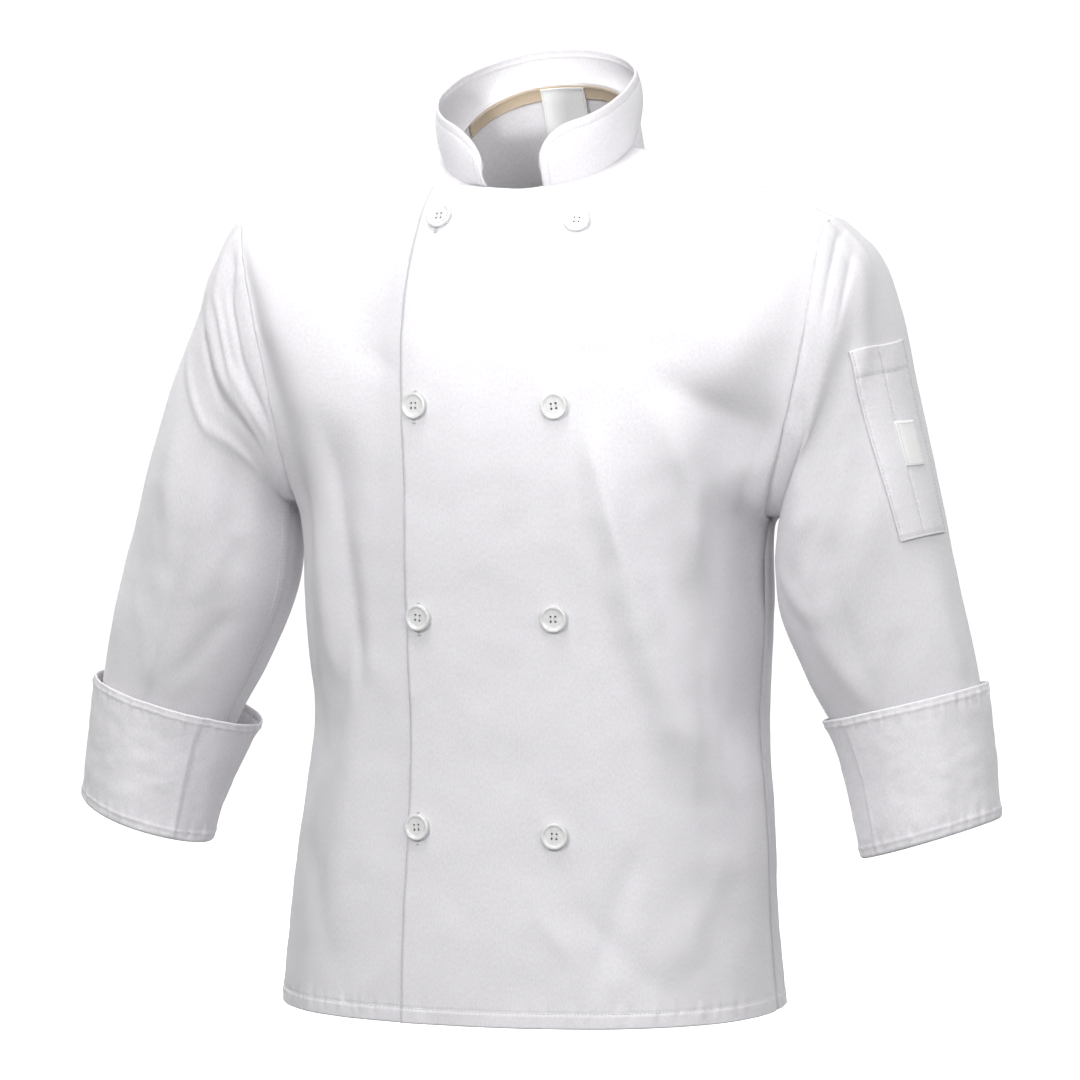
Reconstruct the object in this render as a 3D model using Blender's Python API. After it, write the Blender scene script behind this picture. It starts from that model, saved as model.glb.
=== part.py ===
"""Double-breasted chef jacket, worn and hollow: every cut piece is a thin closed wall.

Frame: metres, +Z up, the jacket faces -Y and the wearer's left is +X. The origin is on the
shoulder line between the two neck points, where the wearer's shoulders carry the jacket.
Surfaces are grids of points, [column][row][xyz]; a wall is a grid given a thickness.
"""

import math

import bmesh
import bpy
import numpy as np
from mathutils import Vector

# Driving dimensions
WALL = 0.0016            # twill with its seam allowances
COLLAR_WALL = 0.0022     # two plies and an interlining
TRIM_WALL = 0.0010       # tape, label and tab
SEAM_GAP = 0.0003        # between two pieces along a seam
LAYER_GAP = 0.0006       # between two layers that lie on each other
HEM_Z = -0.686
HEM_SLANT = 0.0045       # the hem is higher at the wearer's left by this, lower at the right
CHEST_Z = -0.300         # below it the body is rings, above it columns run to the seams
COLLAR_HEIGHT = 0.049
COLLAR_BACK_HEIGHT = 0.028
COLLAR_END_HEIGHT = 0.018
COLLAR_LEAN = 0.45       # forward, for each unit up, at the ends
COLLAR_BACK_LEAN = 0.12
COLLAR_ROUND = 0.032
CUFF_TOP = {1: 0.790, -1: 0.806}                       # share of the sleeve's length
CUFF_GAP = 0.0045        # from the sleeve to the turned-back ply
CUFF_FLARE = 0.0015
CUFF_OPEN = {1: 0.0, -1: 0.013}                        # how far a cuff gapes, and where
CUFF_OPEN_ANGLE = 195.0
HEAD_FULLNESS = {1: 0.003, -1: -0.007}                 # how far a sleeve head stands out
SLEEVE_LIFT = {1: 0.020, -1: 0.004}                    # how far a forearm is held up,
SLEEVE_SWING = {1: -0.005, -1: 0.003}                  # and out
BUTTON_RADIUS = 0.0105
BUTTON_HEIGHT = 0.0036
BUTTON_COLUMN = 0.0563   # from the centre front to a column of buttons
BUTTON_LIFT = 0.0003
BUTTON_SIDES = 14
BUTTON_HOLE = 0.0009
BUTTON_PITCH = 0.0019
BUTTON_ROWS = ((-0.057, 0.0055), (-0.200, 0.0020), (-0.365, 0.0035), (-0.5335, 0.0035))
ROWS = 16                # cells from hem to top, and from armhole to cuff
ROW_CROWDING = 1.25      # 1 would space the rows evenly
HALF_ROUND = 12          # cells in half an armhole
SHOULDER_CELLS = 6
COLLAR_ROWS = 4
COLLAR_BULGE = 0.0035
LAP_LIFT = 0.0012                                      # apart at the laps' top corners
LAP_REACH = (2.0, 11.0)                                # columns the step fades over: top, hem
TIP_SOFTENING = 1.7                                    # columns, below the shoulder tip
LAP_DROPS = (0.0020, 0.0022, 0.0060, 0.0130, 0.0240)   # from the centre to the free edge
SEAM_EDGES = {
    "front_left": ("top", "right"),
    "front_right": ("top", "left"),
    "back": ("top", "left", "right"),
    "sleeve_left": ("bottom",),
    "sleeve_right": ("bottom",),
    "collar": ("bottom",),
}
POCKET_WALL = 0.0014
POCKET_GAP = 0.0009
POCKET_TOP = ((4.0, 0.224), (60.0, 0.155))    # outer and front corner: degrees, share
POCKET_BOTTOM = ((5.0, 0.512), (48.0, 0.503))
POCKET_CELLS = (6, 10)
POCKET_SAG = 0.020                            # of its upper edge between the corners
TAB_COLUMNS = (1.4, 2.0, 3.0, 3.4)            # columns and rows of the pocket
TAB_ROWS = (4.0, 5.0, 6.0, 6.2)
TAPE_GAP = 0.0010
TAPE_ROWS = (ROWS - 0.62, ROWS - 0.04)
LABEL_COLUMNS = (-0.37, 0.40, 1.0, 1.17)               # from the centre back to the right
LABEL_ROWS = (ROWS - 1.8, ROWS - 1.0, ROWS - 0.12)

# Body sections: height, half width, depth in front, depth behind, sideways shift
SECTION_COLUMNS = ("z", "half_width", "front", "back", "shift")
SECTIONS = (
    (-0.690, 0.2070, 0.131, 0.118, -0.002),
    (-0.634, 0.2020, 0.129, 0.115, -0.002),
    (-0.570, 0.1970, 0.126, 0.111, 0.000),
    (-0.474, 0.1880, 0.124, 0.104, 0.004),
    (-0.378, 0.1940, 0.125, 0.110, 0.001),
    (-0.300, 0.1960, 0.127, 0.118, 0.000),
)
SECTION_POWER = 2.3

# Neck seam: a flattened ring, tilted down to the front
NECK_HALF_WIDTH = 0.0755
NECK_FRONT = 0.064
NECK_BACK = 0.072
NECK_POWER = 2.35
NECK_DROP = 0.032        # from the neck point to the centre front
NECK_RISE = 0.049        # from the neck point to the centre back
NECK_SHIFT = 0.005       # the neck sits this far to the wearer's left

# Shoulder tip and the width of the body below a column, as a share of the half width
SHOULDER_TIP = (0.247, 0.003, -0.054)
SHOULDER_RISE = 0.007
NECK_SHARES = (0.0, 0.130, 0.203, 0.263, 0.322, 0.382, 0.440)
NECK_ANGLES = (0.0, 15.0, 29.0, 42.0, 58.0, 74.0, 90.0)
TIP_SHARE = 0.630
ARM_SHARES = (0.672, 0.710, 0.745, 0.778, 0.808, 0.836, 0.864, 0.895, 0.930, 0.965, 0.990, 1.0)
# How the cloth runs up into the seam at the centre, the neck point and the shoulder tip
ARRIVALS = {
    False: ((0.0, 0.60, 0.80), (-0.30, 0.89, 0.39), (0.16, 0.96, 0.22)),
    True: ((0.0, 0.52, 0.85), (0.00, 0.50, 0.86), (0.16, 0.96, 0.22)),
}
TIP_SPREAD = 0.50                         # the cloth reaches the tip and the armhole
ARMHOLE_SPREAD = {1: 0.25, -1: 0.45}      # leaning outward by these, over the last stretch
SPREAD_LENGTH = 0.040

# Left sleeve sections: share of the length, outer and inner point (x, z), centre y,
# half depth, roundness
SLEEVE_COLUMNS = ("at", "outer_x", "outer_z", "inner_x", "inner_z", "y", "depth", "power")
SLEEVE = (
    (0.00, 0.247, -0.054, 0.196, -0.290, 0.003, 0.076, 2.2),
    (0.08, 0.272, -0.080, 0.2070, -0.2905, 0.006, 0.076, 2.2),
    (0.17, 0.2890, -0.122, 0.2085, -0.2955, 0.010, 0.075, 2.2),
    (0.30, 0.3095, -0.190, 0.2065, -0.307, 0.007, 0.073, 2.2),
    (0.43, 0.3295, -0.260, 0.2055, -0.328, 0.000, 0.069, 2.1),
    (0.57, 0.3465, -0.329, 0.2110, -0.371, -0.004, 0.062, 2.0),
    (0.72, 0.3635, -0.399, 0.2360, -0.430, -0.004, 0.057, 2.0),
    (0.84, 0.3745, -0.455, 0.2640, -0.485, -0.004, 0.052, 1.9),
    (1.00, 0.3860, -0.538, 0.2840, -0.572, -0.006, 0.048, 1.8),
)
ARMHOLE_HOLLOW = {1: -0.018, -1: 0.014}   # how far the armhole curves in, at front and back
SLEEVE_END = 0.915       # the sleeve ply meets the cuff inside it

# Folds of the body: from and to (degrees round from the centre front, height), half width,
# rise of the ridge (negative for a trough)
FOLD_COLUMNS = ("angle_a", "z_a", "angle_b", "z_b", "half_width", "rise")
BODY_FOLDS = (
    (38, -0.23, 49, -0.35, 0.017, 0.006),
    (49, -0.35, 64, -0.48, 0.017, 0.007),
    (56, -0.21, 63, -0.32, 0.015, 0.007),
    (74, -0.07, 65, -0.17, 0.020, 0.004),
    (57, -0.185, 74, -0.235, 0.017, -0.007),
    (67, -0.215, 78, -0.29, 0.020, -0.008),
    (77, -0.29, 80, -0.47, 0.024, -0.012),
    (-52, -0.24, -48, -0.40, 0.016, -0.006),
    (-63, -0.06, -49, -0.15, 0.018, -0.004),
    (-52, -0.40, -65, -0.50, 0.016, -0.005),
    (-72, -0.26, -72, -0.46, 0.022, -0.007),
    (128, -0.20, 120, -0.50, 0.026, -0.007),
    (-128, -0.20, -122, -0.50, 0.026, -0.007),
    (152, -0.30, 150, -0.62, 0.024, 0.005),
    (-152, -0.30, -148, -0.62, 0.024, 0.005),
)
BODY_RADIUS = 0.15

# Folds of a sleeve: from and to (degrees round from the outer side over the front, share of
# the length), half width, rise
SLEEVE_FOLDS = {
    1: (
        (25, 0.08, 60, 0.24, 0.015, 0.003),
        (100, 0.12, 116, 0.42, 0.014, 0.004),
        (60, 0.42, 100, 0.62, 0.018, 0.003),
        (118, 0.46, 108, 0.74, 0.016, 0.003),
        (230, 0.10, 215, 0.45, 0.018, -0.006),
        (270, 0.40, 300, 0.70, 0.020, 0.004),
    ),
    -1: (
        (34, 0.04, 50, 0.13, 0.010, 0.004),
        (50, 0.13, 82, 0.14, 0.010, 0.004),
        (82, 0.14, 114, 0.07, 0.010, 0.004),
        (104, 0.24, 120, 0.50, 0.016, -0.005),
        (62, 0.32, 78, 0.56, 0.018, 0.004),
        (78, 0.56, 94, 0.74, 0.016, 0.003),
        (230, 0.10, 215, 0.45, 0.018, -0.006),
        (270, 0.40, 300, 0.70, 0.020, 0.004),
    ),
}
SLEEVE_RADIUS = 0.066

# Colours: base colour, roughness
CLOTH = ("white_twill", (0.86, 0.87, 0.88), 0.85)
BUTTON_PLASTIC = ("white_plastic", (0.88, 0.88, 0.87), 0.35)
TAPE_COTTON = ("beige_tape", (0.66, 0.58, 0.45), 0.90)
LABEL_COTTON = ("white_label", (0.90, 0.90, 0.89), 0.70)


def clear_scene():
    for thing in list(bpy.data.objects):
        bpy.data.objects.remove(thing, do_unlink=True)


def material(look):
    """A Principled material, made once for each look."""
    name, colour, roughness = look
    if name in bpy.data.materials:
        return bpy.data.materials[name]
    made = bpy.data.materials.new(name)
    made.use_nodes = True
    shader = made.node_tree.nodes["Principled BSDF"]
    shader.inputs["Base Color"].default_value = (*colour, 1.0)
    shader.inputs["Roughness"].default_value = roughness
    shader.inputs["Metallic"].default_value = 0.0
    return made


# Tables and curves

def table_curve(rows, names):
    """A smooth curve through a table's rows: column name to value, for any first-column x."""
    table = np.array(rows, dtype=float)
    x = table[:, 0]
    slope = np.gradient(table, x, axis=0)

    def read(at):
        at = np.clip(np.asarray(at, dtype=float), x[0], x[-1])
        i = np.clip(np.searchsorted(x, at, side="right") - 1, 0, len(x) - 2)
        span = x[i + 1] - x[i]
        w = ((at - x[i]) / span)[..., None]
        span = span[..., None]
        value = hermite(table[i], slope[i] * span, table[i + 1], slope[i + 1] * span, w)
        return {name: value[..., k] for k, name in enumerate(names)}

    return read


def hermite(start, start_slope, end, end_slope, w):
    """Cubic from start to end with the given slopes, w from 0 to 1."""
    return (
        start * (2 * w**3 - 3 * w**2 + 1)
        + start_slope * (w**3 - 2 * w**2 + w)
        + end * (3 * w**2 - 2 * w**3)
        + end_slope * (w**3 - w**2)
    )


def ease(x, low, high):
    """0 below low, 1 above high, smooth between."""
    w = np.clip((x - low) / (high - low), 0.0, 1.0)
    return w * w * (3 - 2 * w)


def unit(v):
    return v / np.maximum(np.linalg.norm(v, axis=-1, keepdims=True), 1e-12)


def signed_power(x, power):
    return np.sign(x) * np.abs(x) ** power


section_at = table_curve(SECTIONS, SECTION_COLUMNS)
sleeve_at = table_curve(SLEEVE, SLEEVE_COLUMNS)


def fold_height(folds, across, along, radius, along_scale):
    """Sum of soft ridges and troughs at points given as degrees round and place along."""
    total = np.zeros_like(across)
    for row in folds:
        fold = dict(zip(FOLD_COLUMNS, row))
        start = np.array([math.radians(fold["angle_a"]) * radius, fold["z_a"] * along_scale])
        end = np.array([math.radians(fold["angle_b"]) * radius, fold["z_b"] * along_scale])
        run = end - start
        length = np.hypot(*run)
        run = run / length
        offset_across = np.radians(across) * radius - start[0]
        offset_along = along * along_scale - start[1]
        down = offset_across * run[0] + offset_along * run[1]
        side = offset_across * run[1] - offset_along * run[0]
        fade = ease(down, -0.04, 0.03) * (1 - ease(down, length - 0.03, length + 0.04))
        total += fold["rise"] * fade * np.exp(-(side / fold["half_width"]) ** 2)
    return total


# The body

def body_ring(share, z, back):
    """Point of a body section: share 0 is the centre line, 1 the side seam of +X."""
    row = section_at(z)
    reference = 0.20
    straight = 1 - ease(share, 0.45, 0.85)
    wide = share * (1 + (reference / row["half_width"] - 1) * straight)
    wide = np.clip(wide, 0.0, 1.0)
    depth = (1 - wide**SECTION_POWER) ** (1 / SECTION_POWER)
    y = np.where(back, depth * row["back"], -depth * row["front"])
    return np.stack([wide * row["half_width"], y, z + 0 * y], axis=-1)


def neck_point(angle):
    """Neck seam: 0 degrees is the centre front, 90 the neck point, 180 the centre back."""
    a = math.radians(angle)
    depth, height = (NECK_FRONT, NECK_DROP) if angle < 90 else (NECK_BACK, NECK_RISE)
    reach = signed_power(math.cos(a), 2 / NECK_POWER)
    x = NECK_HALF_WIDTH * signed_power(math.sin(a), 2 / NECK_POWER)
    return np.array([x, -depth * reach, -height * reach])


def arm_ring(at, angle, side):
    """Sleeve section, drawn on +X: 0 degrees is the outer side, 90 the front, 180 the inner side."""
    row = sleeve_at(at)
    outer = np.stack([row["outer_x"], row["outer_z"]], axis=-1)
    inner = np.stack([row["inner_x"], row["inner_z"]], axis=-1)
    middle = (outer + inner) / 2
    half = (outer - inner) / 2
    a = np.radians(angle)
    rise = signed_power(np.cos(a), 2 / row["power"])
    swell = signed_power(np.sin(a), 2 / row["power"])
    hollow = ARMHOLE_HOLLOW[side] * (1 - ease(np.asarray(at), 0.0, 0.25))
    lower = ease(np.asarray(at), 0.35, 1.0)
    head = ease(np.asarray(at), 0.0, 0.10) * (1 - ease(np.asarray(at), 0.16, 0.34))
    x = middle[..., 0] + half[..., 0] * rise - hollow * swell**2 + SLEEVE_SWING[side] * lower
    x = x + HEAD_FULLNESS[side] * head * (1 + rise) / 2
    z = middle[..., 1] + half[..., 1] * rise + SLEEVE_LIFT[side] * lower
    y = row["y"] - row["depth"] * swell
    return np.stack([x, y, z], axis=-1)


def half_columns(side, back):
    """Columns from the centre line to the side seam of +X: share, top point, top slope, and
    how much the last stretch leans outward."""
    tip = np.array(SHOULDER_TIP)
    neck = neck_point(90.0)
    turn = -1.0 if back else 1.0
    start, neck_rise, tip_rise = (np.array(rise) for rise in ARRIVALS[back])
    columns = []
    for share, angle in zip(NECK_SHARES, NECK_ANGLES):
        lean = angle / 90.0
        top = neck_point(180.0 - angle if back else angle)
        rise = np.array([1.0, turn, 1.0]) * (start + (neck_rise - start) * lean)
        columns.append((share, top, rise, 0.0))
    for k in range(1, SHOULDER_CELLS + 1):
        w = k / SHOULDER_CELLS
        top = neck + (tip - neck) * w
        top[2] += SHOULDER_RISE * math.sin(math.pi * w)
        rise = np.array([1.0, turn, 1.0]) * (neck_rise + (tip_rise - neck_rise) * w)
        share = NECK_SHARES[-1] + (TIP_SHARE - NECK_SHARES[-1]) * w
        columns.append((share, top, rise, TIP_SPREAD * w**2))
    for k, share in enumerate(ARM_SHARES, 1):
        angle = 180.0 * k / HALF_ROUND
        top = arm_ring(0.0, -angle if back else angle, side)
        lean = 1 - ease(angle, 0.0, 95.0)
        swell = abs(math.sin(math.radians(angle)))
        rise = np.array([0.16 * lean + 0.14 * swell, turn * 0.96 * lean, 1.0 - 0.78 * lean])
        spread = TIP_SPREAD * lean + ARMHOLE_SPREAD[side] * swell
        columns.append((share, top, rise, spread))
    return columns


def column_points(share, top, rise, spread, back, rows):
    """Points up one column from the hem to its top, closer together near the top."""
    z = np.linspace(HEM_Z, CHEST_Z, 40)
    low = body_ring(np.full_like(z, share), z, back)
    start = low[-1]
    chord = np.linalg.norm(top - start)
    w = np.linspace(0, 1, 60)[1:, None]
    up = np.array([0.0, 0.0, 1.07 * chord])
    high = hermite(start, up, top, unit(rise) * chord * 0.97, w)
    path = np.concatenate([low, high])
    walked = np.concatenate([[0], np.cumsum(np.linalg.norm(np.diff(path, axis=0), axis=1))])
    to_top = walked[-1] - walked
    path[:, 0] -= spread * to_top * np.exp(-to_top / SPREAD_LENGTH)
    stops = walked[-1] * (1 - (1 - np.linspace(0, 1, rows + 1)) ** ROW_CROWDING)
    return np.stack([np.interp(stops, walked, path[:, k]) for k in range(3)], axis=-1)


def body_half(side, back):
    """Grid from the centre line to a side seam; side is 1 for +X and -1 for -X."""
    columns = [column_points(*column, back, ROWS) for column in half_columns(side, back)]
    grid = soften_tip(np.array(columns))
    grid[..., 0] *= side
    return grid


def soften_tip(grid):
    """Even out, across the columns, the ridge that runs down from the shoulder tip."""
    tip = len(NECK_SHARES) - 1 + SHOULDER_CELLS
    near = np.exp(-((np.arange(len(grid)) - tip) / 5.0) ** 2)[:, None]
    near = near * ease(grid[..., 2], CHEST_Z - 0.04, CHEST_Z + 0.05)
    near = near * (1 - ease(np.arange(ROWS + 1) / ROWS, 0.80, 1.0))
    for _ in range(int(2 * TIP_SOFTENING**2)):
        middle = (grid[:-2] + 2 * grid[1:-1] + grid[2:]) / 4
        grid[1:-1] += (middle - grid[1:-1]) * near[1:-1, :, None]
    return grid


def body_grid():
    """The whole body, round from the centre front over +X and the back to the start."""
    front_left = body_half(1, False)
    back_left = body_half(1, True)[::-1]
    back_right = body_half(-1, True)
    front_right = body_half(-1, False)[::-1]
    grid = np.concatenate([front_left, back_left[1:], back_right[1:], front_right[1:-1]])
    shift = section_at(grid[..., 2])["shift"] * (1 - ease(grid[..., 2], -0.36, -0.30))
    normal = grid_normals(grid, True)
    angle = np.degrees(np.arctan2(grid[..., 0], -grid[..., 1]))
    top_free = 1 - ease(np.arange(ROWS + 1) / ROWS, 0.86, 1.0)
    height = fold_height(BODY_FOLDS, angle, grid[..., 2], BODY_RADIUS, 1.0) * top_free
    grid = grid + normal * height[..., None]
    to_hem = 1 - ease(grid[..., 2], HEM_Z, CHEST_Z)
    grid[..., 2] += HEM_SLANT * to_hem * grid[..., 0] / SECTIONS[0][1]
    grid[..., 0] += shift + NECK_SHIFT * ease(grid[..., 2], -0.16, -0.04) * neck_near(grid)
    return grid


def neck_near(grid):
    """1 at the neck, 0 out at the shoulders."""
    return 1 - ease(np.abs(grid[..., 0]), 0.08, 0.20)


def grid_normals(grid, closed):
    """Unit normals of a grid: at each point the mean of the triangles round it."""
    wide = np.concatenate([grid, grid[:1]]) if closed else grid
    a, b, d, e = wide[:-1, :-1], wide[1:, :-1], wide[1:, 1:], wide[:-1, 1:]
    low = np.cross(b - a, d - a)
    high = np.cross(d - a, e - a)
    total = np.zeros_like(wide)
    total[:-1, :-1] += low + high
    total[1:, :-1] += low
    total[1:, 1:] += low + high
    total[:-1, 1:] += high
    if closed:
        total[0] += total[-1]
        total = total[:-1]
    return unit(total)


# Sleeves and cuffs

def sleeve_points(side, across, along):
    """Points and outward normals of a sleeve at degrees round and shares of its length."""
    around = arm_ring(along, across + 9.0, side) - arm_ring(along, across - 9.0, side)
    down = arm_ring(along + 0.03, across, side) - arm_ring(along - 0.03, across, side)
    normal = unit(np.cross(around, down))
    free = ease(along, 0.0, 0.10) * (1 - ease(along, 0.80, 0.90))
    height = fold_height(SLEEVE_FOLDS[side], across, along, SLEEVE_RADIUS, 0.50) * free
    points = arm_ring(along, across, side) + normal * height[..., None]
    mirror = np.array([side, 1.0, 1.0])
    return points * mirror, normal * mirror


def sleeve_grid(side, at):
    """Rings of a sleeve at the given shares of its length."""
    angles = 360.0 * np.arange(2 * HALF_ROUND) / (2 * HALF_ROUND)
    across, along = np.meshgrid(angles, at, indexing="ij")
    grid, _ = sleeve_points(side, across, along)
    return grid, grid_normals(grid, True) * side


# Walls

class Sheet:
    """A grid with, at each point, the vector from its middle face to its outer face."""

    def __init__(self, grid, normal, wall, closed=False):
        self.grid = grid.copy()
        self.step = normal * (wall / 2)
        self.wall = wall
        self.closed = closed


def mitre(sheets):
    """Give the points where sheets meet one common step, so their rims lie side by side.

    sheets is a list of (sheet, column, row)."""
    ways = [unit(sheet.step[c, r]) for sheet, c, r in sheets]
    middle = unit(np.sum(ways, axis=0))
    lean = max(min(float(np.dot(middle, way)) for way in ways), 0.50)
    for sheet, c, r in sheets:
        sheet.step[c, r] = middle * (sheet.wall / 2 / lean)


def pull_back(sheet, edge, distance=SEAM_GAP / 2 + 0.00002):
    """Move one edge of a sheet back from its seam; edge is left, right, bottom or top."""
    grid = sheet.grid
    if edge == "left":
        grid[0] += unit(grid[1] - grid[0]) * distance
    elif edge == "right":
        grid[-1] += unit(grid[-2] - grid[-1]) * distance
    elif edge == "bottom":
        grid[:, 0] += unit(grid[:, 1] - grid[:, 0]) * distance
    else:
        grid[:, -1] += unit(grid[:, -2] - grid[:, -1]) * distance


def wall_mesh(sheet):
    """Vertices and faces of the closed wall of a sheet."""
    columns, rows = sheet.grid.shape[:2]
    outer = (sheet.grid + sheet.step).reshape(-1, 3)
    inner = (sheet.grid - sheet.step).reshape(-1, 3)
    points = np.concatenate([outer, inner])
    below = columns * rows

    def at(c, r):
        return (c % columns) * rows + r

    faces = []
    spans = columns if sheet.closed else columns - 1
    for c in range(spans):
        for r in range(rows - 1):
            a, b, d, e = at(c, r), at(c + 1, r), at(c + 1, r + 1), at(c, r + 1)
            faces += [(a, b, d), (a, d, e)]
            faces += [(a + below, d + below, b + below), (a + below, e + below, d + below)]
        for r, flip in ((0, False), (rows - 1, True)):
            rim = (at(c, r), at(c, r) + below, at(c + 1, r) + below, at(c + 1, r))
            faces.append(rim[::-1] if flip else rim)
    if not sheet.closed:
        for r in range(rows - 1):
            for c, flip in ((0, True), (columns - 1, False)):
                rim = (at(c, r), at(c, r) + below, at(c, r + 1) + below, at(c, r + 1))
                faces.append(rim[::-1] if flip else rim)
    return points, faces


def add_piece(name, points, faces, look):
    """One named object with its faces pointing out."""
    mesh = bpy.data.meshes.new(name)
    mesh.from_pydata([tuple(p) for p in points], [], faces)
    mesh.materials.append(material(look))
    shell = bmesh.new()
    shell.from_mesh(mesh)
    bmesh.ops.triangulate(shell, faces=shell.faces[:])
    if shell.calc_volume(signed=True) < 0:
        bmesh.ops.reverse_faces(shell, faces=shell.faces[:])
    shell.to_mesh(mesh)
    shell.free()
    mesh.shade_smooth()
    mesh.set_sharp_from_angle(angle=math.radians(50))
    piece = bpy.data.objects.new(name, mesh)
    bpy.context.scene.collection.objects.link(piece)
    return piece


def add_sheet(name, sheet, look):
    points, faces = wall_mesh(sheet)
    return add_piece(name, points, faces, look)


def patch(sheet, columns, rows, out, wall):
    """A sheet lying on another: points of its faces at fractional columns and rows, moved out."""
    top = np.array(sheet.grid.shape[:2]) - 1
    c, r = np.meshgrid(columns, rows, indexing="ij")
    c0 = np.minimum(np.floor(c).astype(int), top[0] - 1)
    r0 = np.minimum(np.floor(r).astype(int), top[1] - 1)
    u, v = (c - c0)[..., None], (r - r0)[..., None]

    def mix(values):
        start, end = values[c0, r0], values[c0 + 1, r0 + 1]
        low = start + u * (values[c0 + 1, r0] - start) + v * (end - values[c0 + 1, r0])
        high = start + v * (values[c0, r0 + 1] - start) + u * (end - values[c0, r0 + 1])
        return np.where(u > v, low, high)

    normal = unit(mix(sheet.step))
    return Sheet(mix(sheet.grid) + normal * out, normal, wall)


# Pieces

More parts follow.
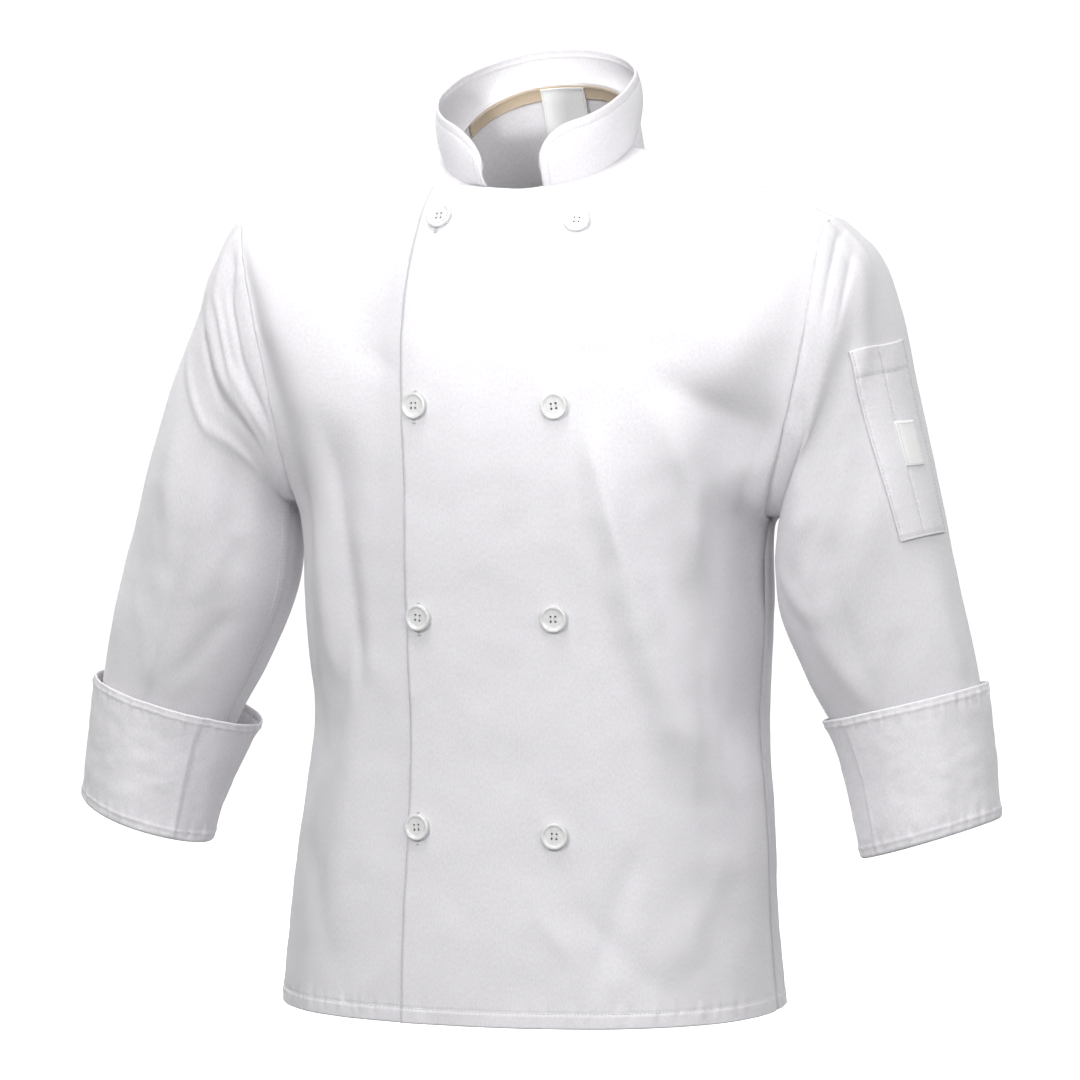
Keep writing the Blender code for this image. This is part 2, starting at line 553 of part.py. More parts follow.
class Jacket:
    """The cut pieces as sheets, and where their columns lie.

    A column is counted from the centre front or the centre back: 1 is the collar end, NECK the
    neck point, TIP the shoulder tip and SIDE the side seam."""

    LAP = 4
    NECK = len(NECK_SHARES) - 1
    TIP = NECK + SHOULDER_CELLS
    SIDE = TIP + HALF_ROUND

    def __init__(self):
        body = body_grid()
        normal = grid_normals(body, True)
        spans = {
            "front_left": np.arange(-self.LAP, self.SIDE + 1),
            "front_right": np.arange(-self.SIDE, self.LAP + 1),
            "back": np.arange(self.SIDE, 3 * self.SIDE + 1),
        }
        self.sheets = {n: Sheet(body[c], normal[c], WALL) for n, c in spans.items()}
        self.lay_over()
        for side, name in ((1, "sleeve_left"), (-1, "sleeve_right")):
            grid, normal = sleeve_grid(side, np.linspace(0, SLEEVE_END, ROWS + 1))
            self.sheets[name] = Sheet(grid, normal, WALL, closed=True)
        self.sheets["collar"] = self.collar()
        self.join_seams()

    def front(self, side, count):
        """Sheet name and column of a front, at a count from the centre."""
        if side == 1:
            return "front_left", self.LAP + count
        return "front_right", self.SIDE - count

    def back(self, side, count):
        return "back", self.SIDE - side * count

    def lay_over(self):
        """The over-front lies outside the under-front; both laps end below the neck seam."""
        over, under = self.sheets["front_left"], self.sheets["front_right"]
        count = np.arange(len(over.grid))[:, None] - self.LAP
        low = 1 - (np.arange(ROWS + 1) / ROWS) ** 10
        reach = LAP_REACH[0] + (LAP_REACH[1] - LAP_REACH[0]) * low[None, :]
        apart = (WALL + LAYER_GAP) / 2 * (1 - ease(count, self.LAP, self.LAP + reach))[..., None]
        over.grid += unit(over.step) * apart
        under.grid -= unit(under.step) * apart[::-1]
        over.grid[:3, -4:] += unit(over.step[:3, -4:]) * LAP_LIFT
        under.grid[-4:, -5:] -= unit(under.step[-4:, -5:]) * LAP_LIFT
        for side in (1, -1):
            name, centre = self.front(side, 0)
            grid = self.sheets[name].grid
            for count, drop in enumerate(LAP_DROPS):
                column = centre - side * count
                grid[column, -5:] = shorten(grid[column, -5:], drop)

    def neck_seam(self):
        """(sheet name, column) along the neck seam, from the left collar end to the right."""
        left = [self.front(1, n) for n in range(1, self.NECK)]
        behind = [("back", c) for c in range(self.SIDE - self.NECK, self.SIDE + self.NECK + 1)]
        right = [self.front(-1, n) for n in range(self.NECK - 1, 0, -1)]
        return left + behind + right

    def collar(self):
        """A stand on the neck seam with rounded ends, leaning with the seam's tilt."""
        seam = np.array([self.sheets[name].grid[column, -1] for name, column in self.neck_seam()])
        places = collar_places(len(seam))
        base = along_line(seam, places)
        walked = np.concatenate([[0], np.cumsum(np.linalg.norm(np.diff(base, axis=0), axis=1))])
        to_end = np.minimum(walked, walked[-1] - walked)
        curve = np.sqrt(1 - (1 - np.clip(to_end / COLLAR_ROUND, 0, 1)) ** 2)
        behind = ease(base[:, 1], -0.02, NECK_BACK)
        full = COLLAR_HEIGHT + (COLLAR_BACK_HEIGHT - COLLAR_HEIGHT) * behind
        height = COLLAR_END_HEIGHT + (full - COLLAR_END_HEIGHT) * curve
        lean = COLLAR_LEAN + (COLLAR_BACK_LEAN - COLLAR_LEAN) * behind
        up = unit(np.stack([0 * lean, -lean, 1 + 0 * lean], axis=-1))
        out = unit(base * np.array([1.0, 1.0, 0.0]))
        rise = np.linspace(0, 1, COLLAR_ROWS + 1)
        bulge = COLLAR_BULGE * np.sin(np.pi * rise)
        grid = base[:, None] + up[:, None] * (height[:, None] * rise)[..., None]
        grid += out[:, None] * bulge[None, :, None]
        return Sheet(grid, grid_normals(grid, False), COLLAR_WALL)

    def join_seams(self):
        """Mitre the sheets where they meet, then leave the seam gap between them."""
        sheets = self.sheets
        places = collar_places(len(self.neck_seam()))
        whole = {round(p): k for k, p in enumerate(places) if abs(p - round(p)) < 1e-9}
        meets = []
        for number, (name, column) in enumerate(self.neck_seam()):
            meets.append([(sheets[name], column, -1), (sheets["collar"], whole[number], 0)])
        for side in (1, -1):
            sleeve = sheets["sleeve_left" if side == 1 else "sleeve_right"]
            for count in range(self.NECK, self.SIDE + 1):
                front, front_column = self.front(side, count)
                back, back_column = self.back(side, count)
                fore = (sheets[front], front_column, -1)
                aft = (sheets[back], back_column, -1)
                ring = count - self.TIP
                if count == self.NECK:
                    number = self.neck_seam().index((back, back_column))
                    meets.append([fore, aft, (sheets["collar"], whole[number], 0)])
                elif count < self.TIP:
                    meets.append([fore, aft])
                elif count in (self.TIP, self.SIDE):
                    meets.append([fore, aft, (sleeve, ring, 0)])
                else:
                    meets.append([fore, (sleeve, ring, 0)])
                    meets.append([aft, (sleeve, -ring, 0)])
            for row in range(ROWS):
                front, front_column = self.front(side, self.SIDE)
                back, back_column = self.back(side, self.SIDE)
                meets.append([(sheets[front], front_column, row), (sheets[back], back_column, row)])
        for meet in meets:
            mitre(meet)
        collar = sheets["collar"]
        steps = np.array([collar.step[whole[n], 0] for n in range(len(whole))])
        collar.step[:, 0] = along_line(steps, places)
        for name, edges in SEAM_EDGES.items():
            for edge in edges:
                pull_back(sheets[name], edge)


def shorten(points, drop):
    """The same number of points along a line, its end moved back by drop."""
    walked = np.concatenate([[0], np.cumsum(np.linalg.norm(np.diff(points, axis=0), axis=1))])
    stops = walked * (1 - drop / walked[-1])
    return np.stack([np.interp(stops, walked, points[:, k]) for k in range(3)], axis=-1)


def collar_places(seam_points):
    """Columns of the collar as places along the neck seam, closer at its rounded ends."""
    last = seam_points - 1
    end = [0.0, 0.12, 0.3, 0.6, 1.0, 1.5]
    return end + [float(k) for k in range(2, last - 1)] + [last - p for p in end[::-1]]


def along_line(points, places):
    number = np.arange(len(points))
    return np.stack([np.interp(places, number, points[:, k]) for k in range(3)], axis=-1)


def cuff_sheet(side):
    """A turned-back cuff: down inside from the sleeve's end, round the fold and up outside."""
    inside = np.linspace(SLEEVE_END, 1.0, 3)
    outside = np.linspace(1.0, CUFF_TOP[side], 5)
    inner, _ = sleeve_grid(side, inside)
    outer, normal = (part[:, ::-1] for part in sleeve_grid(side, outside[::-1]))
    angles = 360.0 * np.arange(2 * HALF_ROUND) / (2 * HALF_ROUND)
    open_side = np.exp(-(((angles - CUFF_OPEN_ANGLE + 180) % 360 - 180) / 55.0) ** 2)
    raised = ease(-outside, -1.0, -CUFF_TOP[side])
    spread = CUFF_GAP + CUFF_FLARE * raised[None, :] + CUFF_OPEN[side] * open_side[:, None] * raised
    outer = outer + normal * spread[..., None]
    down = unit(inner[:, -1] - inner[:, -2])
    radius = CUFF_GAP / 2
    turn = [
        inner[:, -1] + normal[:, 0] * radius * (1 - math.cos(a)) + down * radius * math.sin(a)
        for a in (math.pi / 3, 2 * math.pi / 3)
    ]
    grid = np.concatenate([inner, np.stack(turn, axis=1), outer], axis=1)
    faces_out = grid_normals(grid, True) * side
    cuff = Sheet(grid, faces_out, WALL, closed=True)
    pull_back(cuff, "bottom", SEAM_GAP)
    return cuff


def pocket_sheets():
    """The pen pocket and its plain tab, on the left sleeve's surface and moved out."""
    u, v = np.meshgrid(*(np.linspace(0, 1, cells + 1) for cells in POCKET_CELLS), indexing="ij")
    corners = np.array([POCKET_TOP, POCKET_BOTTOM])
    top = corners[0, 0] + (corners[0, 1] - corners[0, 0]) * u[..., None]
    bottom = corners[1, 0] + (corners[1, 1] - corners[1, 0]) * u[..., None]
    across, along = np.moveaxis(top + (bottom - top) * v[..., None], -1, 0)
    along = along + POCKET_SAG * 4 * u * (1 - u) * (1 - v)
    points, normal = sleeve_points(1, across, along)
    out = WALL / 2 + POCKET_GAP + POCKET_WALL / 2
    pocket = Sheet(points + normal * out, normal, POCKET_WALL)
    tab = patch(pocket, TAB_COLUMNS, TAB_ROWS, POCKET_WALL / 2 + SEAM_GAP + TRIM_WALL / 2, TRIM_WALL)
    return pocket, tab


def tape_and_label(back):
    """Neck tape below the neck seam, inside, and a blank label over it."""
    tape_out = WALL / 2 + TAPE_GAP + TRIM_WALL / 2
    columns = np.arange(Jacket.SIDE - Jacket.NECK + 1, Jacket.SIDE + Jacket.NECK)
    tape = patch(back, columns, TAPE_ROWS, -tape_out, TRIM_WALL)
    label_out = tape_out + TRIM_WALL + SEAM_GAP
    across = [Jacket.SIDE + place for place in LABEL_COLUMNS]
    label = patch(back, across, LABEL_ROWS, -label_out, TRIM_WALL)
    return tape, label


def seat(sheet, x, z):
    """Where a button's flat back rests on a front at a given x and z, and its normal."""
    spans = [np.linspace(0, n - 1, (n - 1) * 12 + 1) for n in sheet.grid.shape[:2]]
    fine = patch(sheet, spans[0], spans[1], WALL / 2, WALL)
    away = (fine.grid[..., 0] - x) ** 2 + (fine.grid[..., 2] - z) ** 2
    at = np.unravel_index(np.argmin(away), away.shape)
    point, normal = fine.grid[at], unit(fine.step[at])
    offset = fine.grid - point
    near = np.linalg.norm(offset, axis=-1) < BUTTON_RADIUS
    lift = np.max(offset[near] @ normal) + BUTTON_LIFT
    return point + normal * lift, normal


def button_mesh():
    """Turned profile with a raised rim, drilled with four holes."""
    profile = [
        (BUTTON_RADIUS * 0.90, 0.0),
        (BUTTON_RADIUS, BUTTON_HEIGHT * 0.30),
        (BUTTON_RADIUS * 0.97, BUTTON_HEIGHT * 0.85),
        (BUTTON_RADIUS * 0.82, BUTTON_HEIGHT),
        (BUTTON_RADIUS * 0.68, BUTTON_HEIGHT * 0.66),
    ]
    turned = bmesh.new()
    rings = []
    for radius, height in profile:
        angles = [2 * math.pi * k / BUTTON_SIDES for k in range(BUTTON_SIDES)]
        rings.append([turned.verts.new((radius * math.cos(a), radius * math.sin(a), height)) for a in angles])
    for low, high in zip(rings, rings[1:]):
        for k in range(BUTTON_SIDES):
            n = (k + 1) % BUTTON_SIDES
            turned.faces.new((low[k], low[n], high[n], high[k]))
    turned.faces.new(rings[0][::-1])
    turned.faces.new(rings[-1])
    mesh = bpy.data.meshes.new("button_blank")
    turned.to_mesh(mesh)
    turned.free()
    return drill(mesh)


def drill(mesh):
    """Cut the four holes and return the finished mesh."""
    blank = bpy.data.objects.new("button_blank", mesh)
    bpy.context.scene.collection.objects.link(blank)
    drills = bmesh.new()
    for x in (-1, 1):
        for y in (-1, 1):
            made = bmesh.ops.create_cone(
                drills, cap_ends=True, segments=5, depth=4 * BUTTON_HEIGHT,
                radius1=BUTTON_HOLE, radius2=BUTTON_HOLE,
            )
            bmesh.ops.translate(drills, verts=made["verts"], vec=(x * BUTTON_PITCH, y * BUTTON_PITCH, 0))
    cutter_mesh = bpy.data.meshes.new("button_drill")
    drills.to_mesh(cutter_mesh)
    drills.free()
    cutter = bpy.data.objects.new("button_drill", cutter_mesh)
    cutter.hide_render = True
    cutter.display_type = "WIRE"
    bpy.context.scene.collection.objects.link(cutter)
    cut = blank.modifiers.new("holes", "BOOLEAN")
    cut.operation = "DIFFERENCE"
    cut.object = cutter
    depsgraph = bpy.context.evaluated_depsgraph_get()
    finished = bpy.data.meshes.new_from_object(blank.evaluated_get(depsgraph))
    bpy.data.objects.remove(blank)
    bpy.data.objects.remove(cutter)
    return finished


def add_buttons(over_front):
    """Two columns of four on the over-front, each flat on the cloth under its middle."""
    blank = button_mesh()
    points = [tuple(v.co) for v in blank.vertices]
    faces = [tuple(p.vertices) for p in blank.polygons]
    number = 0
    for z, middle in BUTTON_ROWS:
        for x in (middle - BUTTON_COLUMN, middle + BUTTON_COLUMN):
            number += 1
            point, normal = seat(over_front, x, z)
            piece = add_piece(f"button_{number}", points, faces, BUTTON_PLASTIC)
            upright = Vector(normal).to_track_quat("Z", "Y")
            piece.rotation_mode = "QUATERNION"
            piece.rotation_quaternion = upright
            piece.location = Vector(point)


def build_jacket():
    clear_scene()
    jacket = Jacket()
    for name, sheet in jacket.sheets.items():
        add_sheet(name, sheet, CLOTH)
    add_sheet("cuff_left", cuff_sheet(1), CLOTH)
    add_sheet("cuff_right", cuff_sheet(-1), CLOTH)
    pocket, tab = pocket_sheets()
    add_sheet("pen_pocket", pocket, CLOTH)
    add_sheet("pocket_tab", tab, LABEL_COTTON)
    tape, label = tape_and_label(jacket.sheets["back"])
    add_sheet("neck_tape", tape, TAPE_COTTON)
    add_sheet("neck_label", label, LABEL_COTTON)
    add_buttons(jacket.sheets["front_left"])


build_jacket()
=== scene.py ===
import math

import bmesh
import bpy
import numpy as np
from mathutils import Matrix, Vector, noise


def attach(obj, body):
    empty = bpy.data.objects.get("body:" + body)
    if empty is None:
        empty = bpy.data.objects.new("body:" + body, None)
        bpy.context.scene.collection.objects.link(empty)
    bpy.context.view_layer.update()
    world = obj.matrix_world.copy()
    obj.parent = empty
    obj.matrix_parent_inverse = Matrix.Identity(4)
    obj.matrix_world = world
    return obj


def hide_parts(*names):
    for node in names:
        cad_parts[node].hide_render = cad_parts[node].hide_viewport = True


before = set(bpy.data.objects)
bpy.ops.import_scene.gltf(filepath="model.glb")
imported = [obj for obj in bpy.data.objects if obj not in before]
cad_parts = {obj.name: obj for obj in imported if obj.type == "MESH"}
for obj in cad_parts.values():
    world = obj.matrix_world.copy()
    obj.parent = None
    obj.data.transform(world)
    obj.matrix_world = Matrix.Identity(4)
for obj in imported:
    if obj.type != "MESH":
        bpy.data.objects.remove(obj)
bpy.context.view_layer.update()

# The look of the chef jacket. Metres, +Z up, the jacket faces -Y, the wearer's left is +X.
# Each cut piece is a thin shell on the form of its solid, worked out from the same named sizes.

# ---------------------------------------------------------------- sizes shared with the solids
WALL = 0.0016
COLLAR_WALL = 0.0022
TRIM_WALL = 0.0010
SEAM_GAP = 0.0003
LAYER_GAP = 0.0006
HEM_Z = -0.686
HEM_SLANT = 0.0045
CHEST_Z = -0.300
COLLAR_HEIGHT = 0.049
COLLAR_BACK_HEIGHT = 0.028
COLLAR_END_HEIGHT = 0.018
COLLAR_LEAN = 0.45
COLLAR_BACK_LEAN = 0.12
COLLAR_ROUND = 0.032
COLLAR_BULGE = 0.0035
CUFF_TOP = {1: 0.790, -1: 0.806}
CUFF_GAP = 0.0045
CUFF_FLARE = 0.0015
CUFF_OPEN = {1: 0.0, -1: 0.013}
CUFF_OPEN_ANGLE = 195.0
HEAD_FULLNESS = {1: 0.003, -1: -0.007}
SLEEVE_LIFT = {1: 0.020, -1: 0.004}
SLEEVE_SWING = {1: -0.005, -1: 0.003}
SLEEVE_END = 0.915
BUTTON_RADIUS = 0.0105
BUTTON_HEIGHT = 0.0036
BUTTON_COLUMN = 0.0563
BUTTON_LIFT = 0.0003
BUTTON_HOLE = 0.0009
BUTTON_PITCH = 0.0019
BUTTON_ROWS = ((-0.057, 0.0055), (-0.200, 0.0020), (-0.365, 0.0035), (-0.5335, 0.0035))
SOLID_ROWS = 16
ROW_CROWDING = 1.25
LAP_LIFT = 0.0012
LIFT_COLUMNS = (-2.2, -1.0)
LIFT_ROWS = (12.0, 13.6)
LAP_REACH = (2.0, 11.0)
TIP_SOFTENING = 1.7
TIP_SOFT_COLUMNS = 5.0
TIP_SOFT_HEIGHT = (CHEST_Z - 0.04, CHEST_Z + 0.05)
TIP_SOFT_FADE = (0.80, 1.0)
LAP_DROPS = (0.0020, 0.0022, 0.0060, 0.0130, 0.0240)
POCKET_WALL = 0.0014
POCKET_GAP = 0.0009
POCKET_TOP = ((4.0, 0.224), (60.0, 0.155))
POCKET_BOTTOM = ((5.0, 0.512), (48.0, 0.503))
POCKET_SAG = 0.020
POCKET_CELLS = (6, 10)
TAB_COLUMNS = (1.4, 3.4)
TAB_ROWS = (4.0, 6.2)
TAPE_GAP = 0.0010
TAPE_ROWS = (15.38, 15.96)
LABEL_COLUMNS = (-0.37, 1.17)
LABEL_ROWS = (14.2, 15.88)
SECTION_COLUMNS = ("z", "half_width", "front", "back", "shift")
SECTIONS = (
    (-0.690, 0.2070, 0.131, 0.118, -0.002),
    (-0.634, 0.2020, 0.129, 0.115, -0.002),
    (-0.570, 0.1970, 0.126, 0.111, 0.000),
    (-0.474, 0.1880, 0.124, 0.104, 0.004),
    (-0.378, 0.1940, 0.125, 0.110, 0.001),
    (-0.300, 0.1960, 0.127, 0.118, 0.000),
)
SECTION_POWER = 2.3
NECK_HALF_WIDTH = 0.0755
NECK_FRONT = 0.064
NECK_BACK = 0.072
NECK_POWER = 2.35
NECK_DROP = 0.032
NECK_RISE = 0.049
NECK_SHIFT = 0.005
NECK_SHIFT_WIDTH = (0.08, 0.20)
NECK_SHIFT_HEIGHT = (-0.16, -0.04)
SHIFT_FADE = (-0.36, -0.30)
SHOULDER_TIP = (0.247, 0.003, -0.054)
SHOULDER_RISE = 0.007
NECK_SHARES = (0.0, 0.130, 0.203, 0.263, 0.322, 0.382, 0.440)
NECK_ANGLES = (0.0, 15.0, 29.0, 42.0, 58.0, 74.0, 90.0)
TIP_SHARE = 0.630
ARM_SHARES = (0.672, 0.710, 0.745, 0.778, 0.808, 0.836, 0.864, 0.895, 0.930, 0.965, 0.990, 1.0)
# Directions in which columns reach the neck's centre, the neck point and the shoulder tip; True is the back
ARRIVALS = {
    False: ((0.0, 0.60, 0.80), (-0.30, 0.89, 0.39), (0.16, 0.96, 0.22)),
    True: ((0.0, 0.52, 0.85), (0.00, 0.50, 0.86), (0.16, 0.96, 0.22)),
}
ARM_LEAN = (0.16, 0.96, 0.78)
ARM_SWELL = 0.14
CHEST_PULL, TOP_PULL = 1.07, 0.97
STRAIGHT_FADE = (0.45, 0.85)
EVEN_HALF_WIDTH = 0.20
LOW_SAMPLES, HIGH_SAMPLES = 200, 500
TIP_SPREAD = 0.50
ARMHOLE_SPREAD = {1: 0.25, -1: 0.45}
SPREAD_LENGTH = 0.040
SLEEVE_COLUMNS = ("at", "outer_x", "outer_z", "inner_x", "inner_z", "y", "depth", "power")
SLEEVE = (
    (0.00, 0.247, -0.054, 0.196, -0.290, 0.003, 0.076, 2.2),
    (0.08, 0.272, -0.080, 0.2070, -0.2905, 0.006, 0.076, 2.2),
    (0.17, 0.2890, -0.122, 0.2085, -0.2955, 0.010, 0.075, 2.2),
    (0.30, 0.3095, -0.190, 0.2065, -0.307, 0.007, 0.073, 2.2),
    (0.43, 0.3295, -0.260, 0.2055, -0.328, 0.000, 0.069, 2.1),
    (0.57, 0.3465, -0.329, 0.2110, -0.371, -0.004, 0.062, 2.0),
    (0.72, 0.3635, -0.399, 0.2360, -0.430, -0.004, 0.057, 2.0),
    (0.84, 0.3745, -0.455, 0.2640, -0.485, -0.004, 0.052, 1.9),
    (1.00, 0.3860, -0.538, 0.2840, -0.572, -0.006, 0.048, 1.8),
)
ARMHOLE_HOLLOW = {1: -0.018, -1: 0.014}
HOLLOW_FADE = (0.0, 0.25)
LOWER_ARM = (0.35, 1.0)
HEAD_SPAN = (0.0, 0.10, 0.16, 0.34)
SLEEVE_FOLD_SPAN = (0.0, 0.10, 0.80, 0.90)
BODY_RADIUS = 0.15
SLEEVE_RADIUS = 0.066

# Columns of the body are counted from the centre, as in the solids
LAP, NECK, TIP, SIDE = 4, 6, 12, 24
SMOOTH = 1.0
LAP_FINE = NECK_FINE = int(4 * SMOOTH)
ARM_FINE = 5
HEM_ROWS, MIDDLE_ROWS, TOP_ROWS = (int(n * SMOOTH) for n in (20, 172, 18))
HEM_SHARE, TOP_SHARE = 0.027, 0.978
ROW_STOPS = np.concatenate([
    np.linspace(0, HEM_SHARE, HEM_ROWS + 1)[:-1],
    np.linspace(HEM_SHARE, TOP_SHARE, MIDDLE_ROWS + 1)[:-1],
    np.linspace(TOP_SHARE, 1, TOP_ROWS + 1),
])
SOLID_SHARE = 1 - (1 - ROW_STOPS) ** (1 / ROW_CROWDING)
SLEEVE_FINE_ROWS = int(190 * SMOOTH)
CUFF_INNER_ROWS, CUFF_TURN_ROWS, CUFF_OUTER_ROWS = (int(n * SMOOTH) for n in (8, 8, 96))
CUFF_FOLD_ROW = CUFF_INNER_ROWS + CUFF_TURN_ROWS // 2
CUFF_COLUMNS = int(216 * SMOOTH)
COLLAR_CELLS = (int(230 * SMOOTH), int(46 * SMOOTH))
POCKET_FINE = (int(56 * SMOOTH), int(120 * SMOOTH))

# Folds: from and to (degrees round, height or share of the length), half width, rise
FOLD_COLUMNS = ("angle_a", "z_a", "angle_b", "z_b", "half_width", "rise")
BODY_FOLDS = (
    (38, -0.23, 49, -0.35, 0.017, 0.006),
    (49, -0.35, 64, -0.48, 0.017, 0.007),
    (56, -0.21, 63, -0.32, 0.015, 0.007),
    (74, -0.07, 65, -0.17, 0.020, 0.004),
    (57, -0.185, 74, -0.235, 0.017, -0.007),
    (67, -0.215, 78, -0.29, 0.020, -0.008),
    (77, -0.29, 80, -0.47, 0.024, -0.012),
    (-52, -0.24, -48, -0.40, 0.016, -0.006),
    (-63, -0.06, -49, -0.15, 0.018, -0.004),
    (-52, -0.40, -65, -0.50, 0.016, -0.005),
    (-72, -0.26, -72, -0.46, 0.022, -0.007),
    (128, -0.20, 120, -0.50, 0.026, -0.007),
    (-128, -0.20, -122, -0.50, 0.026, -0.007),
    (152, -0.30, 150, -0.62, 0.024, 0.005),
    (-152, -0.30, -148, -0.62, 0.024, 0.005),
)
BODY_CREASES = (
    (37, -0.225, 47, -0.330, 0.0065, 0.0026),
    (40, -0.270, 57, -0.450, 0.0120, 0.0030),
    (64, -0.250, 64, -0.310, 0.0110, 0.0022),
    (82, -0.270, 85, -0.350, 0.0150, -0.0040),
    (57, -0.440, 66, -0.570, 0.0140, 0.0030),
    (55, -0.205, 62, -0.270, 0.0065, 0.0022),
    (62, -0.270, 61, -0.335, 0.0075, 0.0020),
    (59, -0.188, 68, -0.214, 0.0080, -0.0030),
    (67, -0.130, 64, -0.180, 0.0090, 0.0024),
    (70, -0.160, 70, -0.215, 0.0070, -0.0020),
    (26, -0.162, 44, -0.163, 0.0100, -0.0016),
    (44, -0.163, 58, -0.148, 0.0090, -0.0018),
    (30, -0.250, 34, -0.330, 0.0100, 0.0012),
    (52, -0.300, 56, -0.400, 0.0090, -0.0018),
    (68, -0.400, 72, -0.520, 0.0100, 0.0018),
    (70, -0.560, 58, -0.640, 0.0120, 0.0018),
    (50, -0.545, 38, -0.650, 0.0100, -0.0016),
    (36, -0.600, 56, -0.660, 0.0100, -0.0014),
    (20, -0.590, 34, -0.640, 0.0090, 0.0012),
    (-54, -0.230, -50, -0.330, 0.0070, -0.0020),
    (-50, -0.330, -47, -0.410, 0.0080, -0.0018),
    (-44, -0.300, -42, -0.420, 0.0090, 0.0014),
    (-60, -0.300, -57, -0.420, 0.0080, 0.0020),
    (-52, -0.405, -60, -0.480, 0.0080, -0.0022),
    (-46, -0.450, -54, -0.560, 0.0100, 0.0016),
    (-62, -0.560, -52, -0.650, 0.0120, -0.0018),
    (-61, -0.070, -55, -0.120, 0.0080, -0.0016),
    (-47, -0.160, -36, -0.175, 0.0090, -0.0014),
    (-34, -0.640, -44, -0.680, 0.0090, 0.0012),
    (100, -0.310, 112, -0.400, 0.012, -0.0022),
    (-100, -0.320, -110, -0.420, 0.012, -0.0022),
    (165, -0.500, 172, -0.660, 0.014, 0.0018),
    (-140, -0.560, -132, -0.670, 0.014, -0.0018),
    (140, -0.420, 134, -0.560, 0.012, 0.0020),
    (160, -0.120, 130, -0.180, 0.014, -0.0016),
    (-160, -0.120, -134, -0.190, 0.014, -0.0016),
    (178, -0.380, 150, -0.470, 0.012, 0.0030),
    (-172, -0.400, -148, -0.500, 0.012, 0.0030),
    (120, -0.230, 145, -0.330, 0.011, -0.0030),
    (-120, -0.230, -144, -0.340, 0.011, -0.0030),
    (108, -0.420, 128, -0.470, 0.010, 0.0026),
    (-106, -0.430, -126, -0.480, 0.010, 0.0026),
)
SLEEVE_BACK_FOLDS = (
    (230, 0.10, 215, 0.45, 0.018, -0.006),
    (270, 0.40, 300, 0.70, 0.020, 0.004),
)
SLEEVE_FOLDS = {
    1: (
        (25, 0.08, 60, 0.24, 0.015, 0.003),
        (100, 0.12, 116, 0.42, 0.014, 0.004),
        (60, 0.42, 100, 0.62, 0.018, 0.003),
        (118, 0.46, 108, 0.74, 0.016, 0.003),
    ) + SLEEVE_BACK_FOLDS,
    -1: (
        (34, 0.04, 50, 0.13, 0.010, 0.004),
        (50, 0.13, 82, 0.14, 0.010, 0.004),
        (82, 0.14, 114, 0.07, 0.010, 0.004),
        (104, 0.24, 120, 0.50, 0.016, -0.005),
        (62, 0.32, 78, 0.56, 0.018, 0.004),
        (78, 0.56, 94, 0.74, 0.016, 0.003),
    ) + SLEEVE_BACK_FOLDS,
}
SLEEVE_BACK_CREASES = (
    (220, 0.46, 242, 0.60, 0.010, -0.0018),
    (250, 0.20, 276, 0.34, 0.010, 0.0016),
    (300, 0.10, 318, 0.26, 0.010, -0.0014),
)
SLEEVE_CREASES = {
    1: (
        (14, 0.030, 62, 0.036, 0.0034, -0.0022),
        (22, 0.064, 58, 0.080, 0.0042, -0.0018),
        (8, 0.020, 14, 0.110, 0.0042, 0.0014),
        (28, 0.020, 32, 0.090, 0.0040, -0.0012),
        (98, 0.02, 108, 0.12, 0.0045, -0.0016),
        (70, 0.30, 92, 0.44, 0.009, 0.0012),
        (104, 0.40, 124, 0.52, 0.009, -0.0014),
        (140, 0.46, 118, 0.60, 0.009, 0.0018),
        (60, 0.66, 80, 0.76, 0.010, -0.0010),
        (118, 0.64, 100, 0.78, 0.009, 0.0014),
        (30, 0.58, 20, 0.76, 0.011, 0.0012),
    ) + SLEEVE_BACK_CREASES,
    -1: (
        (42, 0.012, 60, 0.055, 0.0042, -0.0026),
        (60, 0.055, 88, 0.062, 0.0042, -0.0026),
        (88, 0.062, 112, 0.018, 0.0042, -0.0026),
        (36, 0.035, 52, 0.095, 0.0044, 0.0022),
        (52, 0.095, 84, 0.105, 0.0044, 0.0024),
        (84, 0.105, 116, 0.040, 0.0044, 0.0024),
        (32, 0.060, 48, 0.160, 0.0050, -0.0024),
        (48, 0.160, 84, 0.175, 0.0050, -0.0024),
        (84, 0.175, 118, 0.085, 0.0050, -0.0024),
        (28, 0.100, 44, 0.230, 0.0060, 0.0018),
        (44, 0.230, 84, 0.260, 0.0060, 0.0018),
        (84, 0.260, 122, 0.160, 0.0060, 0.0020),
        (60, 0.44, 78, 0.58, 0.009, -0.0014),
        (120, 0.42, 104, 0.60, 0.009, 0.0014),
        (64, 0.64, 90, 0.77, 0.010, 0.0012),
        (128, 0.62, 104, 0.76, 0.009, -0.0016),
        (20, 0.56, 36, 0.72, 0.011, 0.0012),
    ) + SLEEVE_BACK_CREASES,
}
# Reach of a fold's fading ends, beyond its end points and inside them
FOLD_FADE = (0.040, 0.030)
BODY_CREASE_FADE = (0.022, 0.022)
SLEEVE_CREASE_FADE = (0.014, 0.014)
SLEEVE_CREASE_SPAN = (0.0, 0.03, 0.76, 0.86)
SLEEVE_LENGTH = 0.50

